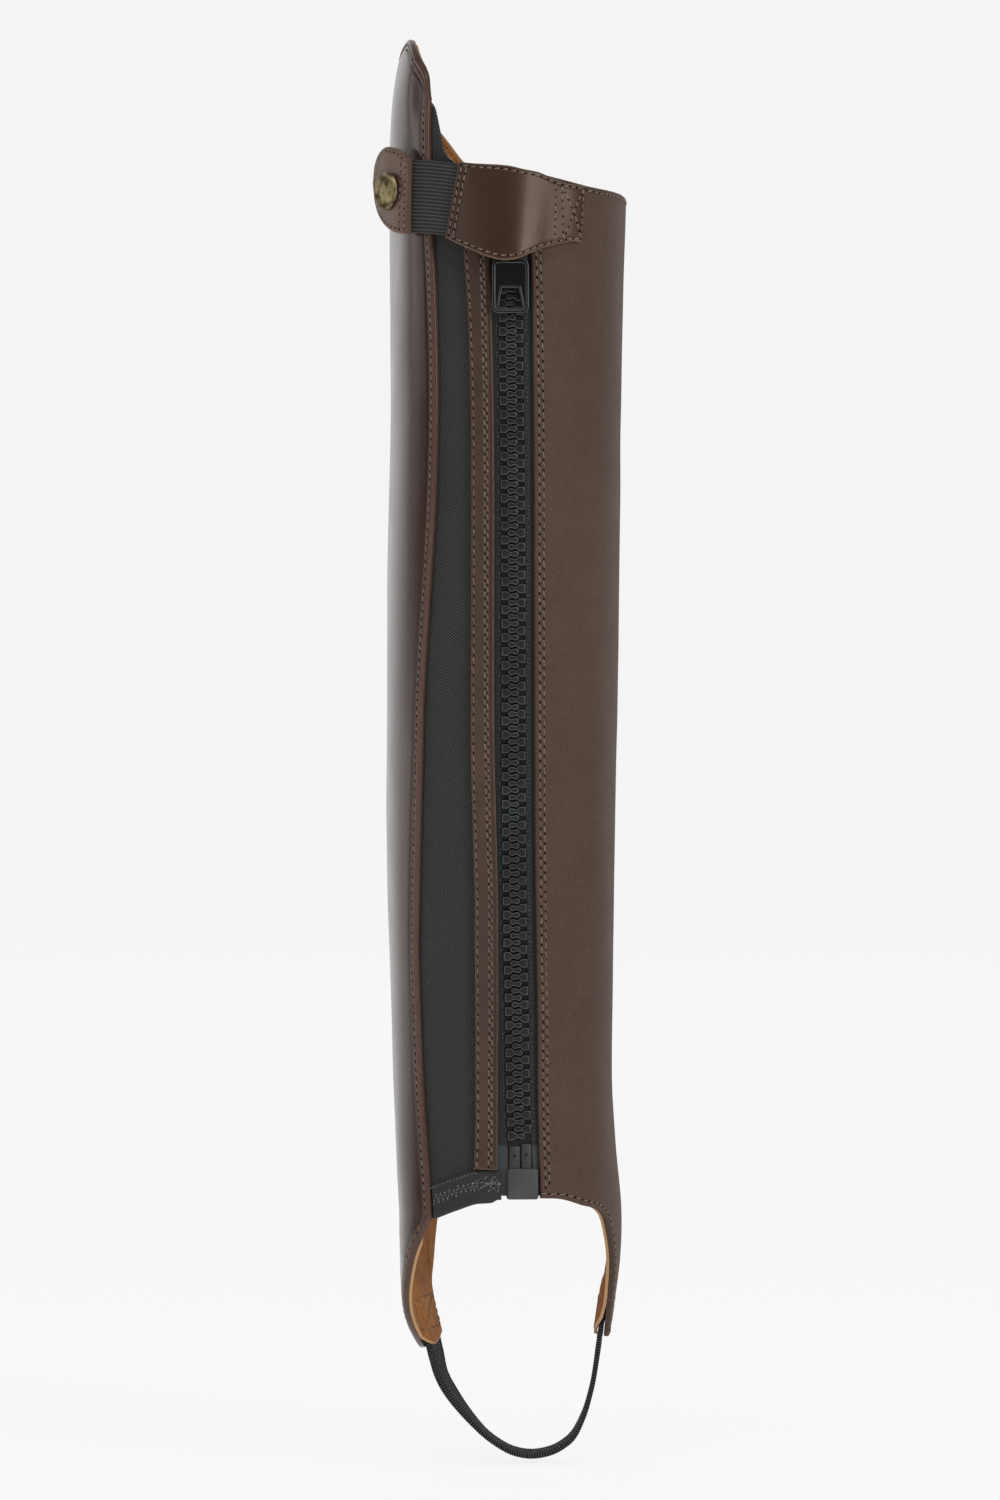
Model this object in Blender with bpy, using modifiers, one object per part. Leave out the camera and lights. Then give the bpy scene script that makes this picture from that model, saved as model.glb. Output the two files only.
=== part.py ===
"""A half chap: a zipped leather gaiter for a rider's left lower leg, filled out as if worn.

Metres, +Z up. The zip and the back of the leg face -Y, the shin faces +Y and the outer side of
the leg is -X. The origin is inside the top of the tube, where the calf holds the chap up.

All sewn pieces are walls on one surface, the outer face of the leather. SECTIONS gives that
surface's outline at a few heights, and SEAMS gives where the seams cross it. A place on it is an
angle round the leg, from 0 at the middle of the back, negative on the outer side and 180 at the
shin, with a height and a distance outwards. The tables are in millimetres and degrees.
"""

import math
from functools import lru_cache

import bmesh
import bpy
from mathutils import Matrix, Vector

MM = 0.001

# The tube's outline: how far it reaches to each side, and how far the front leans to the inner side.
SECTIONS = {
    "z": (-408, -394, -378, -362, -345, -322, -300, -265, -225, -170, -115, -75, -35, 0, 20, 40, 60),
    "left": (
        -23.5, -26.4, -30.6, -31.9, -32.8, -34.7, -36.2, -37.6, -38.7,
        -38.8, -38.2, -37.4, -37.8, -37.8, -37.4, -35.8, -31.6,
    ),
    "right": (
        35.6, 37.0, 39.4, 41.5, 41.8, 39.8, 38.5, 38.8, 39.2,
        40.2, 41.0, 41.4, 42.2, 43.2, 43.3, 43.0, 40.6,
    ),
    "back": (
        -50, -50, -50, -50, -49, -48, -49, -54, -61,
        -70, -74, -74, -71, -68, -66, -64, -62,
    ),
    "front": (60, 60, 62, 63, 61, 58, 57, 60, 64, 69, 72, 73, 73, 72.5, 72, 71, 70),
    "lean": (8, 8, 7.5, 7, 5.5, 3.5, 2, 0.5, 0, 0, 0, 0, 0, 0, 0, 0, 0),
    "back_wider": (
        0.11, 0.11, 0.11, 0.11, 0.10, 0.08, 0.06, 0.05, 0.05,
        0.05, 0.05, 0.05, 0.05, 0.05, 0.05, 0.05, 0.05,
    ),
}
SQUARENESS = 0.045

# How far across, seen from behind, each seam runs.
SEAMS = {
    "z": (-346, -330, -316, -293, -259, -239, -192, -172, -125, -105, -60, -38, -22, 8, 30),
    "leather_edge": (
        -23.6, -24.7, -25.8, -27.3, -28.5, -28.2, -27.0, -26.5,
        -23.4, -22.2, -21.5, -22.1, -22.9, -24.2, -24.4,
    ),
    "strip_left": (
        -8.9, -8.8, -8.3, -8.3, -8.5, -8.5, -9.8, -9.8,
        -9.7, -9.7, -10.2, -11.1, -12.2, -12.4, -12.4,
    ),
    "strip_right": (
        -0.9, -0.9, -0.8, -0.7, -0.7, -0.7, -1.9, -2.1,
        -2.1, -2.1, -2.6, -3.1, -3.6, -3.8, -3.8,
    ),
    "zip": (7.7, 7.2, 6.6, 6.0, 5.3, 5.0, 4.6, 4.6, 4.5, 4.3, 3.8, 3.6, 3.4, 3.2, 3.2),
    "panel_edge": (
        13.9, 13.6, 13.2, 12.9, 12.5, 12.2, 11.8, 11.7,
        11.6, 11.6, 11.2, 10.9, 10.4, 10.2, 10.2,
    ),
}
CHAIN_HALF = 4.0

# Columns run round the tube, and each seam is a whole one, so that stacked layers share facets.
COLUMN_LINES = (
    ("front_outer", 0), ("leather_edge", 18), ("strip_left", 21), ("strip_right", 23),
    ("chain_left", 24), ("chain_right", 25), ("panel_edge", 26), ("front_inner", 47),
)
# Where each piece starts and ends between those columns. The elastic lies under its neighbours.
PIECE_COLUMNS = {
    "outer_panel": (0.03, 18),
    "outer_lining": (0.04, 16.9),
    "elastic_panel": (17, 21.95),
    "elastic_hem": (18.12, 23.3),
    "facing_strip": (21, 23),
    "zip_tape_inner": (25.2, 27),
    "inner_panel": (26, 46.97),
    "inner_lining": (27.1, 46.96),
}
OUTER_TAPE_COLUMNS = (22.08, 23.0, 23.45, 23.8)
CHAIN_COLUMNS = (24.0, 24.5, 25.0)
CHAIN_MIDDLE = 24.5
# Rows of the leather: heights that all the layers share between their rims.
BODY_TOP = -8.0
BODY_BOTTOM = -328.0
BODY_STEPS = 13
TOP_STEPS = 4
FOOT_STEPS = 7

# Rims: a height for each angle round the leg.
TOP_RIM = {
    "angle": (
        -180, -167, -158, -151, -144, -130, -115, -100, -85, -71, -64, -59, -53, -48,
        -43, -39.6, -38.2, -36.2, 0, 12, 20, 35, 49, 68, 90, 110, 130, 150, 165, 180,
    ),
    "z": (
        8.5, 13, 18.6, 23.9, 28.3, 35.2, 40.8, 45, 48.8, 51.2, 52.3, 51.6, 48.2, 45,
        41.4, 38, 34.8, 30.4, 5.4, 4.1, 2.6, 0.4, -0.3, -0.4, 0, 0.6, 1.6, 3, 5, 8.5,
    ),
}
BOTTOM_RIM = {
    "angle": (
        -180, -160, -145, -134, -127, -122, -117.5, -113.5, -110.5, -107.5, -105.5, -104,
        -101.5, -97, -91, -83, -77, -68, -59, -51, -44.5, -36.5, -30, 12, 19, 28, 40, 51,
        60, 66, 71.5, 76, 80, 84, 88.5, 93, 102, 107, 109.5, 111.5, 113, 115, 118.5, 123,
        128, 135, 144, 160, 180,
    ),
    "z": (
        -329.5, -330.5, -333, -337, -341.5, -346.5, -353, -360, -367, -373.5, -380, -386,
        -389.8, -391.8, -393.3, -393.4, -390, -384, -376, -368, -360.5, -352.4, -346.4,
        -339.4, -339.6, -340, -342.3, -344,
        -347.5, -354, -361, -368, -375, -383, -388.3, -390.4, -390.4, -388.3, -384, -377,
        -370, -363, -355, -347.5, -341.5, -336, -332, -330, -329.5,
    ),
}
ELASTIC_TOP = {
    "angle": (-50, -40, -35.2, -31.7, -30, -29, -26.7, -22.1, -19, -14, -6, 0),
    "z": (32, 30, 27.3, 20.3, 16, 13.6, 10.8, 8.3, 7.4, 6.6, 6, 5.6),
}
HEM_BOTTOM = {
    "angle": (-50, -33, -28.3, -17.4, -8.9, -2.3, 0),
    "z": (-347, -346.8, -346.4, -343.7, -341.5, -341, -340),
}
HEM_TOP = {
    "angle": (-50, -34, -17.7, -10.7, -1.4, 0),
    "z": (-336, -335.9, -332.2, -330.4, -330.3, -330.3),
}
TAPE_TOP = {"angle": (-40, 40), "z": (4.6, 3.6)}
TAPE_BOTTOM = {"angle": (-40, 1.4, 3.6, 40), "z": (-338.4, -338.4, -328.4, -328.4)}
STRIP_TOP = 5.4

# Soft dents: middle, half width and half height, and depth.
DENTS = {
    "angle": (-43, -48, -66, -100, 60),
    "z": (34, 6, -20, -352, -346),
    "width": (5, 6, 14, 16, 14),
    "height": (9, 10, 26, 16, 16),
    "depth": (1.1, 0.7, 0.8, 0.6, 0.6),
}

# Layers, as distances inwards from the leather's outer face.
LEATHER = 2.0
GAP = 0.3
UNDER = LEATHER + GAP
ELASTIC_THICK = 1.2
TAPE_THICK = 1.0
LINING_THICK = 0.9
STRAP_THICK = 1.8
STRAP_GAP = 0.4
STRAP_WIDTH = 21.0
HEM_FACE = 0.6
HEM_THICK = 1.4
HEM_CLEARANCE = 0.4
LINING_TRIM = 0.6
ELASTIC_TRIM = 0.2

# The ears: the lining steps inwards there to make room for the foot strap's ends.
LINING_STEP_TOP = -366.0
LINING_STEP_HEIGHT = 8.0
STRAP_TOP = -378.5
STRAP_LEAVES = {"outer": -396.0, "inner": -393.0}
STRAP_ANGLES = {"outer": (-82.5, -101.0), "inner": (87.5, 105.5)}
STRAP_Y = 11.5
STRAP_ROUTE = {
    "x": (-20.2, -16.7, -11.5, -5.5, -0.2, 4.8, 10.8, 17.0, 21.8, 25.6, 29.0, 31.1, 32.5),
    "z": (
        -403.5, -410, -417, -423.5, -427.5, -430.0, -431.0, -430.0, -427.6,
        -424.0, -417, -410, -403.5,
    ),
    "yaw": (8.5, 8, 4.5, 1, 0, 0, 0, 0, 0, 0, 1, 1.5, 1.5),
}

# The zip: moulded chain, slider with a hanging pull, and the box and pin at its foot.
CHAIN_FACE = 1.2
CHAIN_BACK = 4.4
CHAIN_TOP = -17.6
CHAIN_BOTTOM = -320.6
SLIDER_Z = -21.9
SLIDER_HALF_WIDTH = 6.2
SLIDER_UP = 8.0
SLIDER_DOWN = -7.5
SLIDER_FACE = 0.7
SLIDER_BACK = -6.3
BRIDGE_HALF_WIDTH = 1.2
BRIDGE_TOP = 3.4
AXLE_OUT = 1.7
AXLE_HALF = 0.5
EYE_HALF = 1.7
NECK_HALF = 3.0
PULL_THICK = 1.2
PULL_WIDTH = 12.2
PULL_SHOULDER = -3.4
PULL_BOTTOM = -21.4
WINDOW = {"top": -13.0, "bottom": -19.6, "top_half": 2.8, "bottom_half": 4.1}
BOX_Z = -334.7
BOX_SIZE = (10.4, 10.4, 4.8)
PIN_TOP = -321.9
RETAINER_TOP = -320.2
BLOCK_BOTTOM = -329.1
BLOCK_DEPTH = 2.8
PIN_WIDTH = 3.6
PIN_ASIDE = -2.1
RETAINER_WIDTH = 3.4
RETAINER_ASIDE = 1.9

# The closure tab, from its sewn end back over the zip: its two edges and how high it stands.
CLOSURE = {
    "angle_top": (-18, -13.7, -8.3, -3, 1.2, 5.7, 11.2, 15.9, 20.4, 25.4, 31.4),
    "z_top": (7.5, 6.9, 6.5, 6.2, 5.7, 4.7, 3.9, 2.3, 0.8, 0.2, -0.2),
    "angle_bottom": (-22.9, -18.9, -12, -6, -1, 4, 9.5, 15, 21.5, 26, 29.4),
    "z_bottom": (-17.8, -19.7, -22.6, -24.9, -25.9, -25.2, -22.8, -20.8, -19.4, -18.6, -18.8),
    "rise_top": (2.3, 2.4, 2.6, 2.7, 2.8, 2.6, 1.7, 0.9, 0.4, 0.4, 0.4),
    "rise_bottom": (2.3, 2.7, 3.2, 3.8, 4.1, 3.8, 2.4, 1.0, 0.4, 0.4, 0.4),
}
WEBBING_EDGES = {
    "angle": (-44.7, -31.3, -19.5, -11),
    "top": (9.7, 8.6, 7.2, 6.2),
    "bottom": (-15.0, -16.0, -17.3, -18.2),
}
WEBBING_THICK = 1.6
TAB_STEPS = 16
TAB_ROWS = 5
WEBBING_STEPS = 12
WEBBING_ROWS = 4
SNAP_ROWS = 6
SNAP_TAB = {
    "angle": (-60.9, -60.0, -58.4, -56, -53, -49, -45, -41),
    "top": (4.4, 7.8, 10.8, 13.1, 14.2, 13.7, 12.0, 9.4),
    "bottom": (0.6, -3.2, -6.8, -9.9, -12.4, -14.5, -15.6, -15.7),
    "rise": (6.4, 6.2, 5.9, 5.4, 4.75, 3.9, 3.0, 2.2),
}
SNAP_ANGLE = -51.0
SNAP_Z = -0.8
CAP_RADIUS = 6.4
CAP_HEIGHT = 2.2
SNAP_GAP = 0.65
STUD_FOOT_GAP = 1.15
STUD_RADIUS = 4.6


def read(table, key, at):
    """The row of a table at a value of one of its columns, along smooth curves through the rows."""
    stations = table[key]
    at = min(max(at, stations[0]), stations[-1])
    last = len(stations) - 1
    k = max(i for i in range(last) if at >= stations[i])
    step = stations[k + 1] - stations[k]
    s = (at - stations[k]) / step
    found = {}
    for name, values in table.items():

        def slope(i):
            low, high = max(i - 1, 0), min(i + 1, last)
            return (values[high] - values[low]) / (stations[high] - stations[low])

        found[name] = (
            (1 + 2 * s) * (1 - s) ** 2 * values[k]
            + s * (1 - s) ** 2 * step * slope(k)
            + s * s * (3 - 2 * s) * values[k + 1]
            + s * s * (s - 1) * step * slope(k + 1)
        )
    return found


@lru_cache(None)
def outline(z):
    return read(SECTIONS, "z", z)


def surface(angle, z):
    """The leather's outer face before dents: a squared oval, a little wider at the back."""
    row = outline(round(z, 3))
    t = math.radians(angle)
    half_across = (row["right"] - row["left"]) / 2 / (1 - SQUARENESS)
    half_deep = (row["front"] - row["back"]) / 2 / (1 - SQUARENESS)
    across = math.sin(t) + SQUARENESS * math.sin(3 * t)
    deep = math.cos(t) - SQUARENESS * math.cos(3 * t)
    across *= 1 + row["back_wider"] * math.cos(t)
    x = (row["right"] + row["left"]) / 2 + half_across * across
    y = (row["front"] + row["back"]) / 2 - half_deep * deep
    return Vector((x - row["lean"] * math.cos(t), y, z))


def dent(angle, z):
    return sum(
        depth * math.exp(-(((angle - middle) / wide) ** 2) - ((z - height) / tall) ** 2)
        for middle, height, wide, tall, depth in zip(*DENTS.values())
    )


def place(angle, z, out=0.0):
    """A point beside the leather's outer face, `out` mm outwards from it."""
    across = surface(angle + 0.5, z) - surface(angle - 0.5, z)
    up = surface(angle, z + 0.5) - surface(angle, z - 0.5)
    return surface(angle, z) + across.cross(up).normalized() * (out - dent(angle, z))


def angle_of(x, z):
    """The angle at which the back of the tube at height z lies x mm across."""
    low, high = -88.0, 88.0
    for _ in range(40):
        middle = (low + high) / 2
        if surface(middle, z).x < x:
            low = middle
        else:
            high = middle
    return low


def seam_angles():
    """SEAMS as angles, with the two edges of the zip's chain."""
    angles = {"z": SEAMS["z"]}
    lines = {name: SEAMS[name] for name in SEAMS if name != "z"}
    lines["chain_left"] = [x - CHAIN_HALF for x in SEAMS["zip"]]
    lines["chain_right"] = [x + CHAIN_HALF for x in SEAMS["zip"]]
    for name, values in lines.items():
        angles[name] = [angle_of(x, z) for x, z in zip(values, SEAMS["z"])]
    angles["front_outer"] = [-180.0] * len(SEAMS["z"])
    angles["front_inner"] = [180.0] * len(SEAMS["z"])
    return angles


SEAM_ANGLES = seam_angles()


@lru_cache(None)
def seams_at(z):
    return read(SEAM_ANGLES, "z", z)


def column_angle(column, z):
    seams = seams_at(round(z, 3))
    for (left, first), (right, last) in zip(COLUMN_LINES, COLUMN_LINES[1:]):
        if column <= last:
            share = (column - first) / (last - first)
            return seams[left] + share * (seams[right] - seams[left])
    return 180.0


def columns(first, last):
    inner = [float(c) for c in range(math.floor(first) + 1, math.ceil(last))]
    return [first, *inner, last]


def rim_height(column, rim):
    """The height at which a column meets a rim, which is given by angle."""
    z = rim["z"][0]
    for _ in range(6):
        z = read(rim, "angle", column_angle(column, z))["z"]
    return z


def body_rows():
    return [BODY_BOTTOM + (BODY_TOP - BODY_BOTTOM) * k / BODY_STEPS for k in range(BODY_STEPS)]


def shared_rows(bottom_rim, top_rim, trim=0.0):
    """Rows from rim to rim, on heights that all pieces share between the two rims."""

    def heights(column):
        bottom = rim_height(column, bottom_rim) + trim
        top = rim_height(column, top_rim) - trim
        foot = [bottom + (BODY_BOTTOM - bottom) * k / FOOT_STEPS for k in range(FOOT_STEPS)]
        head = [BODY_TOP + (top - BODY_TOP) * k / TOP_STEPS for k in range(TOP_STEPS + 1)]
        return foot + body_rows() + head

    return heights


def even_rows(bottom, top, steps):
    """Rows between two heights, each a number or a rim."""

    def height(column, edge):
        return rim_height(column, edge) if isinstance(edge, dict) else edge

    def heights(column):
        low, high = height(column, bottom), height(column, top)
        return [low + (high - low) * k / steps for k in range(steps + 1)]

    return heights


def material(name, colour, roughness, metallic=0.0):
    made = bpy.data.materials.new(name)
    made.use_nodes = True
    shader = made.node_tree.nodes["Principled BSDF"]
    shader.inputs["Base Color"].default_value = (*colour, 1.0)
    shader.inputs["Roughness"].default_value = roughness
    shader.inputs["Metallic"].default_value = metallic
    return made


def add(name, data, finish, matrix=None, into="half_chap"):
    """Puts a mesh or curve, in millimetres until now, into the scene with its material."""
    made = bpy.data.objects.new(name, data)
    data.transform(Matrix.Scale(MM, 4))
    if into == "half_chap":
        data.materials.append(material(name, *finish))
    if matrix is not None:
        made.matrix_world = Matrix.Translation(matrix.translation * MM) @ matrix.to_3x3().to_4x4()
    bpy.data.collections[into].objects.link(made)
    return made


def mesh_of(bm, name):
    bmesh.ops.recalc_face_normals(bm, faces=bm.faces[:])
    if bm.calc_volume(signed=True) < 0:
        bmesh.ops.reverse_faces(bm, faces=bm.faces[:])
    mesh = bpy.data.meshes.new(name)
    bm.to_mesh(mesh)
    bm.free()
    mesh.shade_smooth()
    mesh.set_sharp_from_angle(angle=math.radians(40))
    return mesh


def wall(name, across, along, spot, finish):
    """A closed wall: a grid of `across` by `along` points, doubled. spot(i, j, side) places them."""
    bm = bmesh.new()
    bmesh.ops.create_grid(bm, x_segments=across - 1, y_segments=along - 1, size=0.5)
    front = bm.verts[:]
    made = bmesh.ops.extrude_face_region(bm, geom=bm.faces[:], use_keep_orig=True)["geom"]
    back = [part for part in made if isinstance(part, bmesh.types.BMVert)]
    for side, sheet in enumerate((front, back)):
        for vert in sheet:
            i = round((vert.co.x + 0.5) * (across - 1))
            j = round((vert.co.y + 0.5) * (along - 1))
            vert.co = spot(i, j, side)
    return add(name, mesh_of(bm, name), finish)


def panel(name, heights, outer, inner, finish, stations=None):
    """A wall on the leg's surface. Outer and inner are distances inwards, fixed or by height."""
    stations = stations or columns(*PIECE_COLUMNS[name])

    def depth(at, z):
        return at(z) if callable(at) else at

    grid = [[(column_angle(column, z), z) for z in heights(column)] for column in stations]

    def spot(i, j, side):
        angle, z = grid[i][j]
        return place(angle, z, -depth((outer, inner)[side], z))

    return wall(name, len(stations), len(grid[0]), spot, finish)


def block(name, size, centre, matrix, finish, bevel=0.0, into="half_chap"):
    """A box given by its size and centre in the frame of `matrix`."""
    bm = bmesh.new()
    shape = Matrix.Translation(centre) @ Matrix.Diagonal((*size, 1.0))
    bmesh.ops.create_cube(bm, size=1.0, matrix=shape)
    made = add(name, mesh_of(bm, name), finish, matrix, into)
    if bevel:
        rounding = made.modifiers.new("rounding", "BEVEL")
        rounding.width = bevel * MM
        rounding.segments = 2
    if into == "cutters":
        made.hide_render = True
        made.display_type = "WIRE"
    return made


def boolean(target, operation, other):
    step = target.modifiers.new(other.name, "BOOLEAN")
    step.operation = operation
    step.object = other


def turned(name, profile, matrix, finish):
    """A solid of revolution: profile points are radius and height, from the top down its outside."""
    mesh = bpy.data.meshes.new(name)
    points = [(radius, 0.0, height) for radius, height in profile]
    mesh.from_pydata(points, [(k, k + 1) for k in range(len(points) - 1)], [])
    made = add(name, mesh, finish, matrix)
    screw = made.modifiers.new("turn", "SCREW")
    screw.steps = screw.render_steps = 28
    screw.use_merge_vertices = True
    screw.merge_threshold = 0.00001
    return made


def frame_on(angle, z, out=0.0):
    """A frame on the surface: X across to the inner side, Y up the leg and Z outwards."""
    across = (place(angle + 1.0, z, out) - place(angle - 1.0, z, out)).normalized()
    up = (place(angle, z + 2.0, out) - place(angle, z - 2.0, out)).normalized()
    outward = across.cross(up).normalized()
    up = outward.cross(across)
    turn = Matrix((across, up, outward)).transposed().to_4x4()
    return Matrix.Translation(place(angle, z, out)) @ turn


def lining_face(z):
    """How deep the lining's face lies: it steps in over the foot strap's ends."""
    s = min(max((LINING_STEP_TOP - z) / LINING_STEP_HEIGHT, 0.0), 1.0)
    return UNDER + (STRAP_THICK + 2 * STRAP_GAP - GAP) * s * s * (3 - 2 * s)


def lining_back(z):
    return lining_face(z) + LINING_THICK


def build_panels():
    rows = shared_rows(BOTTOM_RIM, TOP_RIM)
    panel("outer_panel", rows, 0.0, LEATHER, ((0.045, 0.026, 0.023), 0.22))
    panel("inner_panel", rows, 0.0, LEATHER, ((0.102, 0.072, 0.058), 0.55))
    inside = shared_rows(BOTTOM_RIM, TOP_RIM, LINING_TRIM)
    suede = ((0.30, 0.14, 0.055), 0.95)
    panel("outer_lining", inside, lining_face, lining_back, suede)
    panel("inner_lining", inside, lining_face, lining_back, suede)


def build_gusset():
    rows = shared_rows(HEM_BOTTOM, ELASTIC_TOP, ELASTIC_TRIM)
    black = ((0.018, 0.020, 0.019), 0.9)
    panel("elastic_panel", rows, UNDER, UNDER + ELASTIC_THICK, black)
    hem = even_rows(HEM_BOTTOM, HEM_TOP, 2)
    panel("elastic_hem", hem, HEM_FACE, HEM_FACE + HEM_THICK, black)

    def strip_rows(column):
        foot = rim_height(column, HEM_TOP) + HEM_CLEARANCE
        return [foot, *body_rows(), BODY_TOP, STRIP_TOP]

    panel("facing_strip", strip_rows, 0.0, LEATHER, ((0.090, 0.052, 0.044), 0.4))


def build_zip():
    tape = ((0.016, 0.018, 0.018), 0.85)
    hard = ((0.022, 0.024, 0.026), 0.35)
    tape_rows = shared_rows(TAPE_BOTTOM, TAPE_TOP)
    panel("zip_tape_outer", tape_rows, UNDER, UNDER + TAPE_THICK, tape, OUTER_TAPE_COLUMNS)
    panel("zip_tape_inner", tape_rows, UNDER, UNDER + TAPE_THICK, tape)
    chain_rows = even_rows(CHAIN_BOTTOM, CHAIN_TOP, BODY_STEPS)
    panel("zip_chain", chain_rows, CHAIN_FACE, CHAIN_BACK, hard, CHAIN_COLUMNS)

    at_slider = frame_on(column_angle(CHAIN_MIDDLE, SLIDER_Z), SLIDER_Z)
    build_slider(at_slider, hard)
    build_pull(at_slider @ Matrix.Translation((0, 0, AXLE_OUT)), hard)

    at_box = frame_on(column_angle(CHAIN_MIDDLE, BOX_Z), BOX_Z)
    middle = (CHAIN_FACE + CHAIN_BACK) / 2
    block("zip_box", BOX_SIZE, (0.4, 0, -middle), at_box, ((0.07, 0.07, 0.074), 0.45), bevel=0.5)
    at_foot = frame_on(column_angle(CHAIN_MIDDLE, BLOCK_BOTTOM), BLOCK_BOTTOM)
    for name, wide, aside, top in (
        ("zip_pin", PIN_WIDTH, PIN_ASIDE, PIN_TOP),
        ("zip_retainer", RETAINER_WIDTH, RETAINER_ASIDE, RETAINER_TOP - 1.0),
    ):
        tall = top - BLOCK_BOTTOM
        block(name, (wide, tall, BLOCK_DEPTH), (aside, tall / 2, -middle), at_foot, hard, bevel=0.35)


def build_slider(at, finish):
    """Two plates round the chain, joined above it, with a bridge that the pull hangs on."""
    depth = SLIDER_FACE - SLIDER_BACK
    height = SLIDER_UP - SLIDER_DOWN
    body = block(
        "zip_slider", (2 * SLIDER_HALF_WIDTH, height, depth),
        (0, (SLIDER_UP + SLIDER_DOWN) / 2, (SLIDER_FACE + SLIDER_BACK) / 2), at, finish, bevel=0.8,
    )
    channel_top = CHAIN_TOP - SLIDER_Z + 0.6
    channel = block(
        "chain_channel", (2 * CHAIN_HALF + 0.8, channel_top + 12, CHAIN_BACK - CHAIN_FACE + 0.7),
        (0, (channel_top - 12) / 2, -(CHAIN_FACE + CHAIN_BACK) / 2), at, None, into="cutters",
    )
    boolean(body, "DIFFERENCE", channel)
    for side in (-1, 1):
        slot = block(
            f"tape_slot_{side + 2}", (6, 3 * height, 1.9),
            (side * (CHAIN_HALF + 2.8), 0, -UNDER - TAPE_THICK / 2), at, None, into="cutters",
        )
        boolean(body, "DIFFERENCE", slot)
    bridge = block(
        "bridge", (2 * BRIDGE_HALF_WIDTH, 6.7, BRIDGE_TOP - SLIDER_FACE + 0.5),
        (0, 0.85, (BRIDGE_TOP + SLIDER_FACE - 0.5) / 2), at, None, bevel=0.6, into="cutters",
    )
    boolean(body, "UNION", bridge)
    eye = block("bridge_eye", (4, 2.0, 1.8), (0, 0, AXLE_OUT), at, None, into="cutters")
    boolean(body, "DIFFERENCE", eye)


def build_pull(at, finish):
    """A flat plate with a keyhole at its top, round the bridge, and a window in its lower half."""
    half = PULL_WIDTH / 2
    outline_points = (
        (-NECK_HALF, AXLE_HALF), (NECK_HALF, AXLE_HALF),
        (NECK_HALF, PULL_SHOULDER + 0.6), (half - 1.2, PULL_SHOULDER),
        (half, PULL_SHOULDER - 1.2), (half, PULL_BOTTOM + 2.4), (half - 0.7, PULL_BOTTOM + 0.7),
        (half - 2.4, PULL_BOTTOM), (2.4 - half, PULL_BOTTOM), (0.7 - half, PULL_BOTTOM + 0.7),
        (-half, PULL_BOTTOM + 2.4), (-half, PULL_SHOULDER - 1.2), (1.2 - half, PULL_SHOULDER),
        (-NECK_HALF, PULL_SHOULDER + 0.6),
    )
    eye_points = (
        (-EYE_HALF, -AXLE_HALF), (EYE_HALF, -AXLE_HALF),
        (EYE_HALF, PULL_SHOULDER), (-EYE_HALF, PULL_SHOULDER),
    )
    window_points = (
        (-WINDOW["top_half"], WINDOW["top"]), (WINDOW["top_half"], WINDOW["top"]),
        (WINDOW["bottom_half"], WINDOW["bottom"]), (-WINDOW["bottom_half"], WINDOW["bottom"]),
    )
    curve = bpy.data.curves.new("zip_pull", "CURVE")
    curve.dimensions = "2D"
    curve.fill_mode = "BOTH"
    curve.extrude = PULL_THICK / 2
    for points in (outline_points, eye_points, window_points):
        spline = curve.splines.new("POLY")
        spline.points.add(len(points) - 1)
        spline.use_cyclic_u = True
        for point, (x, y) in zip(spline.points, points):
            point.co = (x, y, 0, 1)
    add("zip_pull", curve, finish, at)


def build_closure():
    """The tab over the zip's top, its elastic webbing and the snapped end."""
    first, last = CLOSURE["angle_top"][0], CLOSURE["angle_top"][-1]
    stations = [first + (last - first) * k / TAB_STEPS for k in range(TAB_STEPS + 1)]

    def tab_spot(i, j, side):
        edge = read(CLOSURE, "angle_top", stations[i])
        share = j / TAB_ROWS
        angle = edge["angle_bottom"] + (edge["angle_top"] - edge["angle_bottom"]) * share
        z = edge["z_bottom"] + (edge["z_top"] - edge["z_bottom"]) * share
        rise = edge["rise_bottom"] + (edge["rise_top"] - edge["rise_bottom"]) * share
        return place(angle, z, rise + LEATHER * (1 - side))

    leather = ((0.075, 0.042, 0.033), 0.3)
    wall("closure_tab", TAB_STEPS + 1, TAB_ROWS + 1, tab_spot, leather)

    left, right = WEBBING_EDGES["angle"][0], WEBBING_EDGES["angle"][-1]
    turns = [left + (right - left) * k / WEBBING_STEPS for k in range(WEBBING_STEPS + 1)]

    def webbing_spot(i, j, side):
        edge = read(WEBBING_EDGES, "angle", turns[i])
        z = edge["bottom"] + (edge["top"] - edge["bottom"]) * j / WEBBING_ROWS
        return place(turns[i], z, GAP + WEBBING_THICK * (1 - side))

    black = ((0.020, 0.021, 0.023), 0.8)
    wall("tab_webbing", WEBBING_STEPS + 1, WEBBING_ROWS + 1, webbing_spot, black)

    def snap_spot(i, j, side):
        angle = SNAP_TAB["angle"][i]
        edge = read(SNAP_TAB, "angle", angle)
        z = edge["bottom"] + (edge["top"] - edge["bottom"]) * j / SNAP_ROWS
        return place(angle, z, edge["rise"] + LEATHER * (1 - side))

    wall("snap_tab", len(SNAP_TAB["angle"]), SNAP_ROWS + 1, snap_spot, leather)
    build_snap()


def snap_frame():
    """A frame on the outer face of the snap tab, at the snap."""
    rise = read(SNAP_TAB, "angle", SNAP_ANGLE)["rise"]
    ahead = place(SNAP_ANGLE + 2, SNAP_Z, read(SNAP_TAB, "angle", SNAP_ANGLE + 2)["rise"])
    behind = place(SNAP_ANGLE - 2, SNAP_Z, read(SNAP_TAB, "angle", SNAP_ANGLE - 2)["rise"])
    across = (ahead - behind).normalized()
    outward = across.cross(Vector((0, 0, 1))).normalized()
    turn = Matrix((across, outward.cross(across), outward)).transposed().to_4x4()
    middle = place(SNAP_ANGLE, SNAP_Z, rise) + outward * LEATHER
    return Matrix.Translation(middle) @ turn, rise


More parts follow.
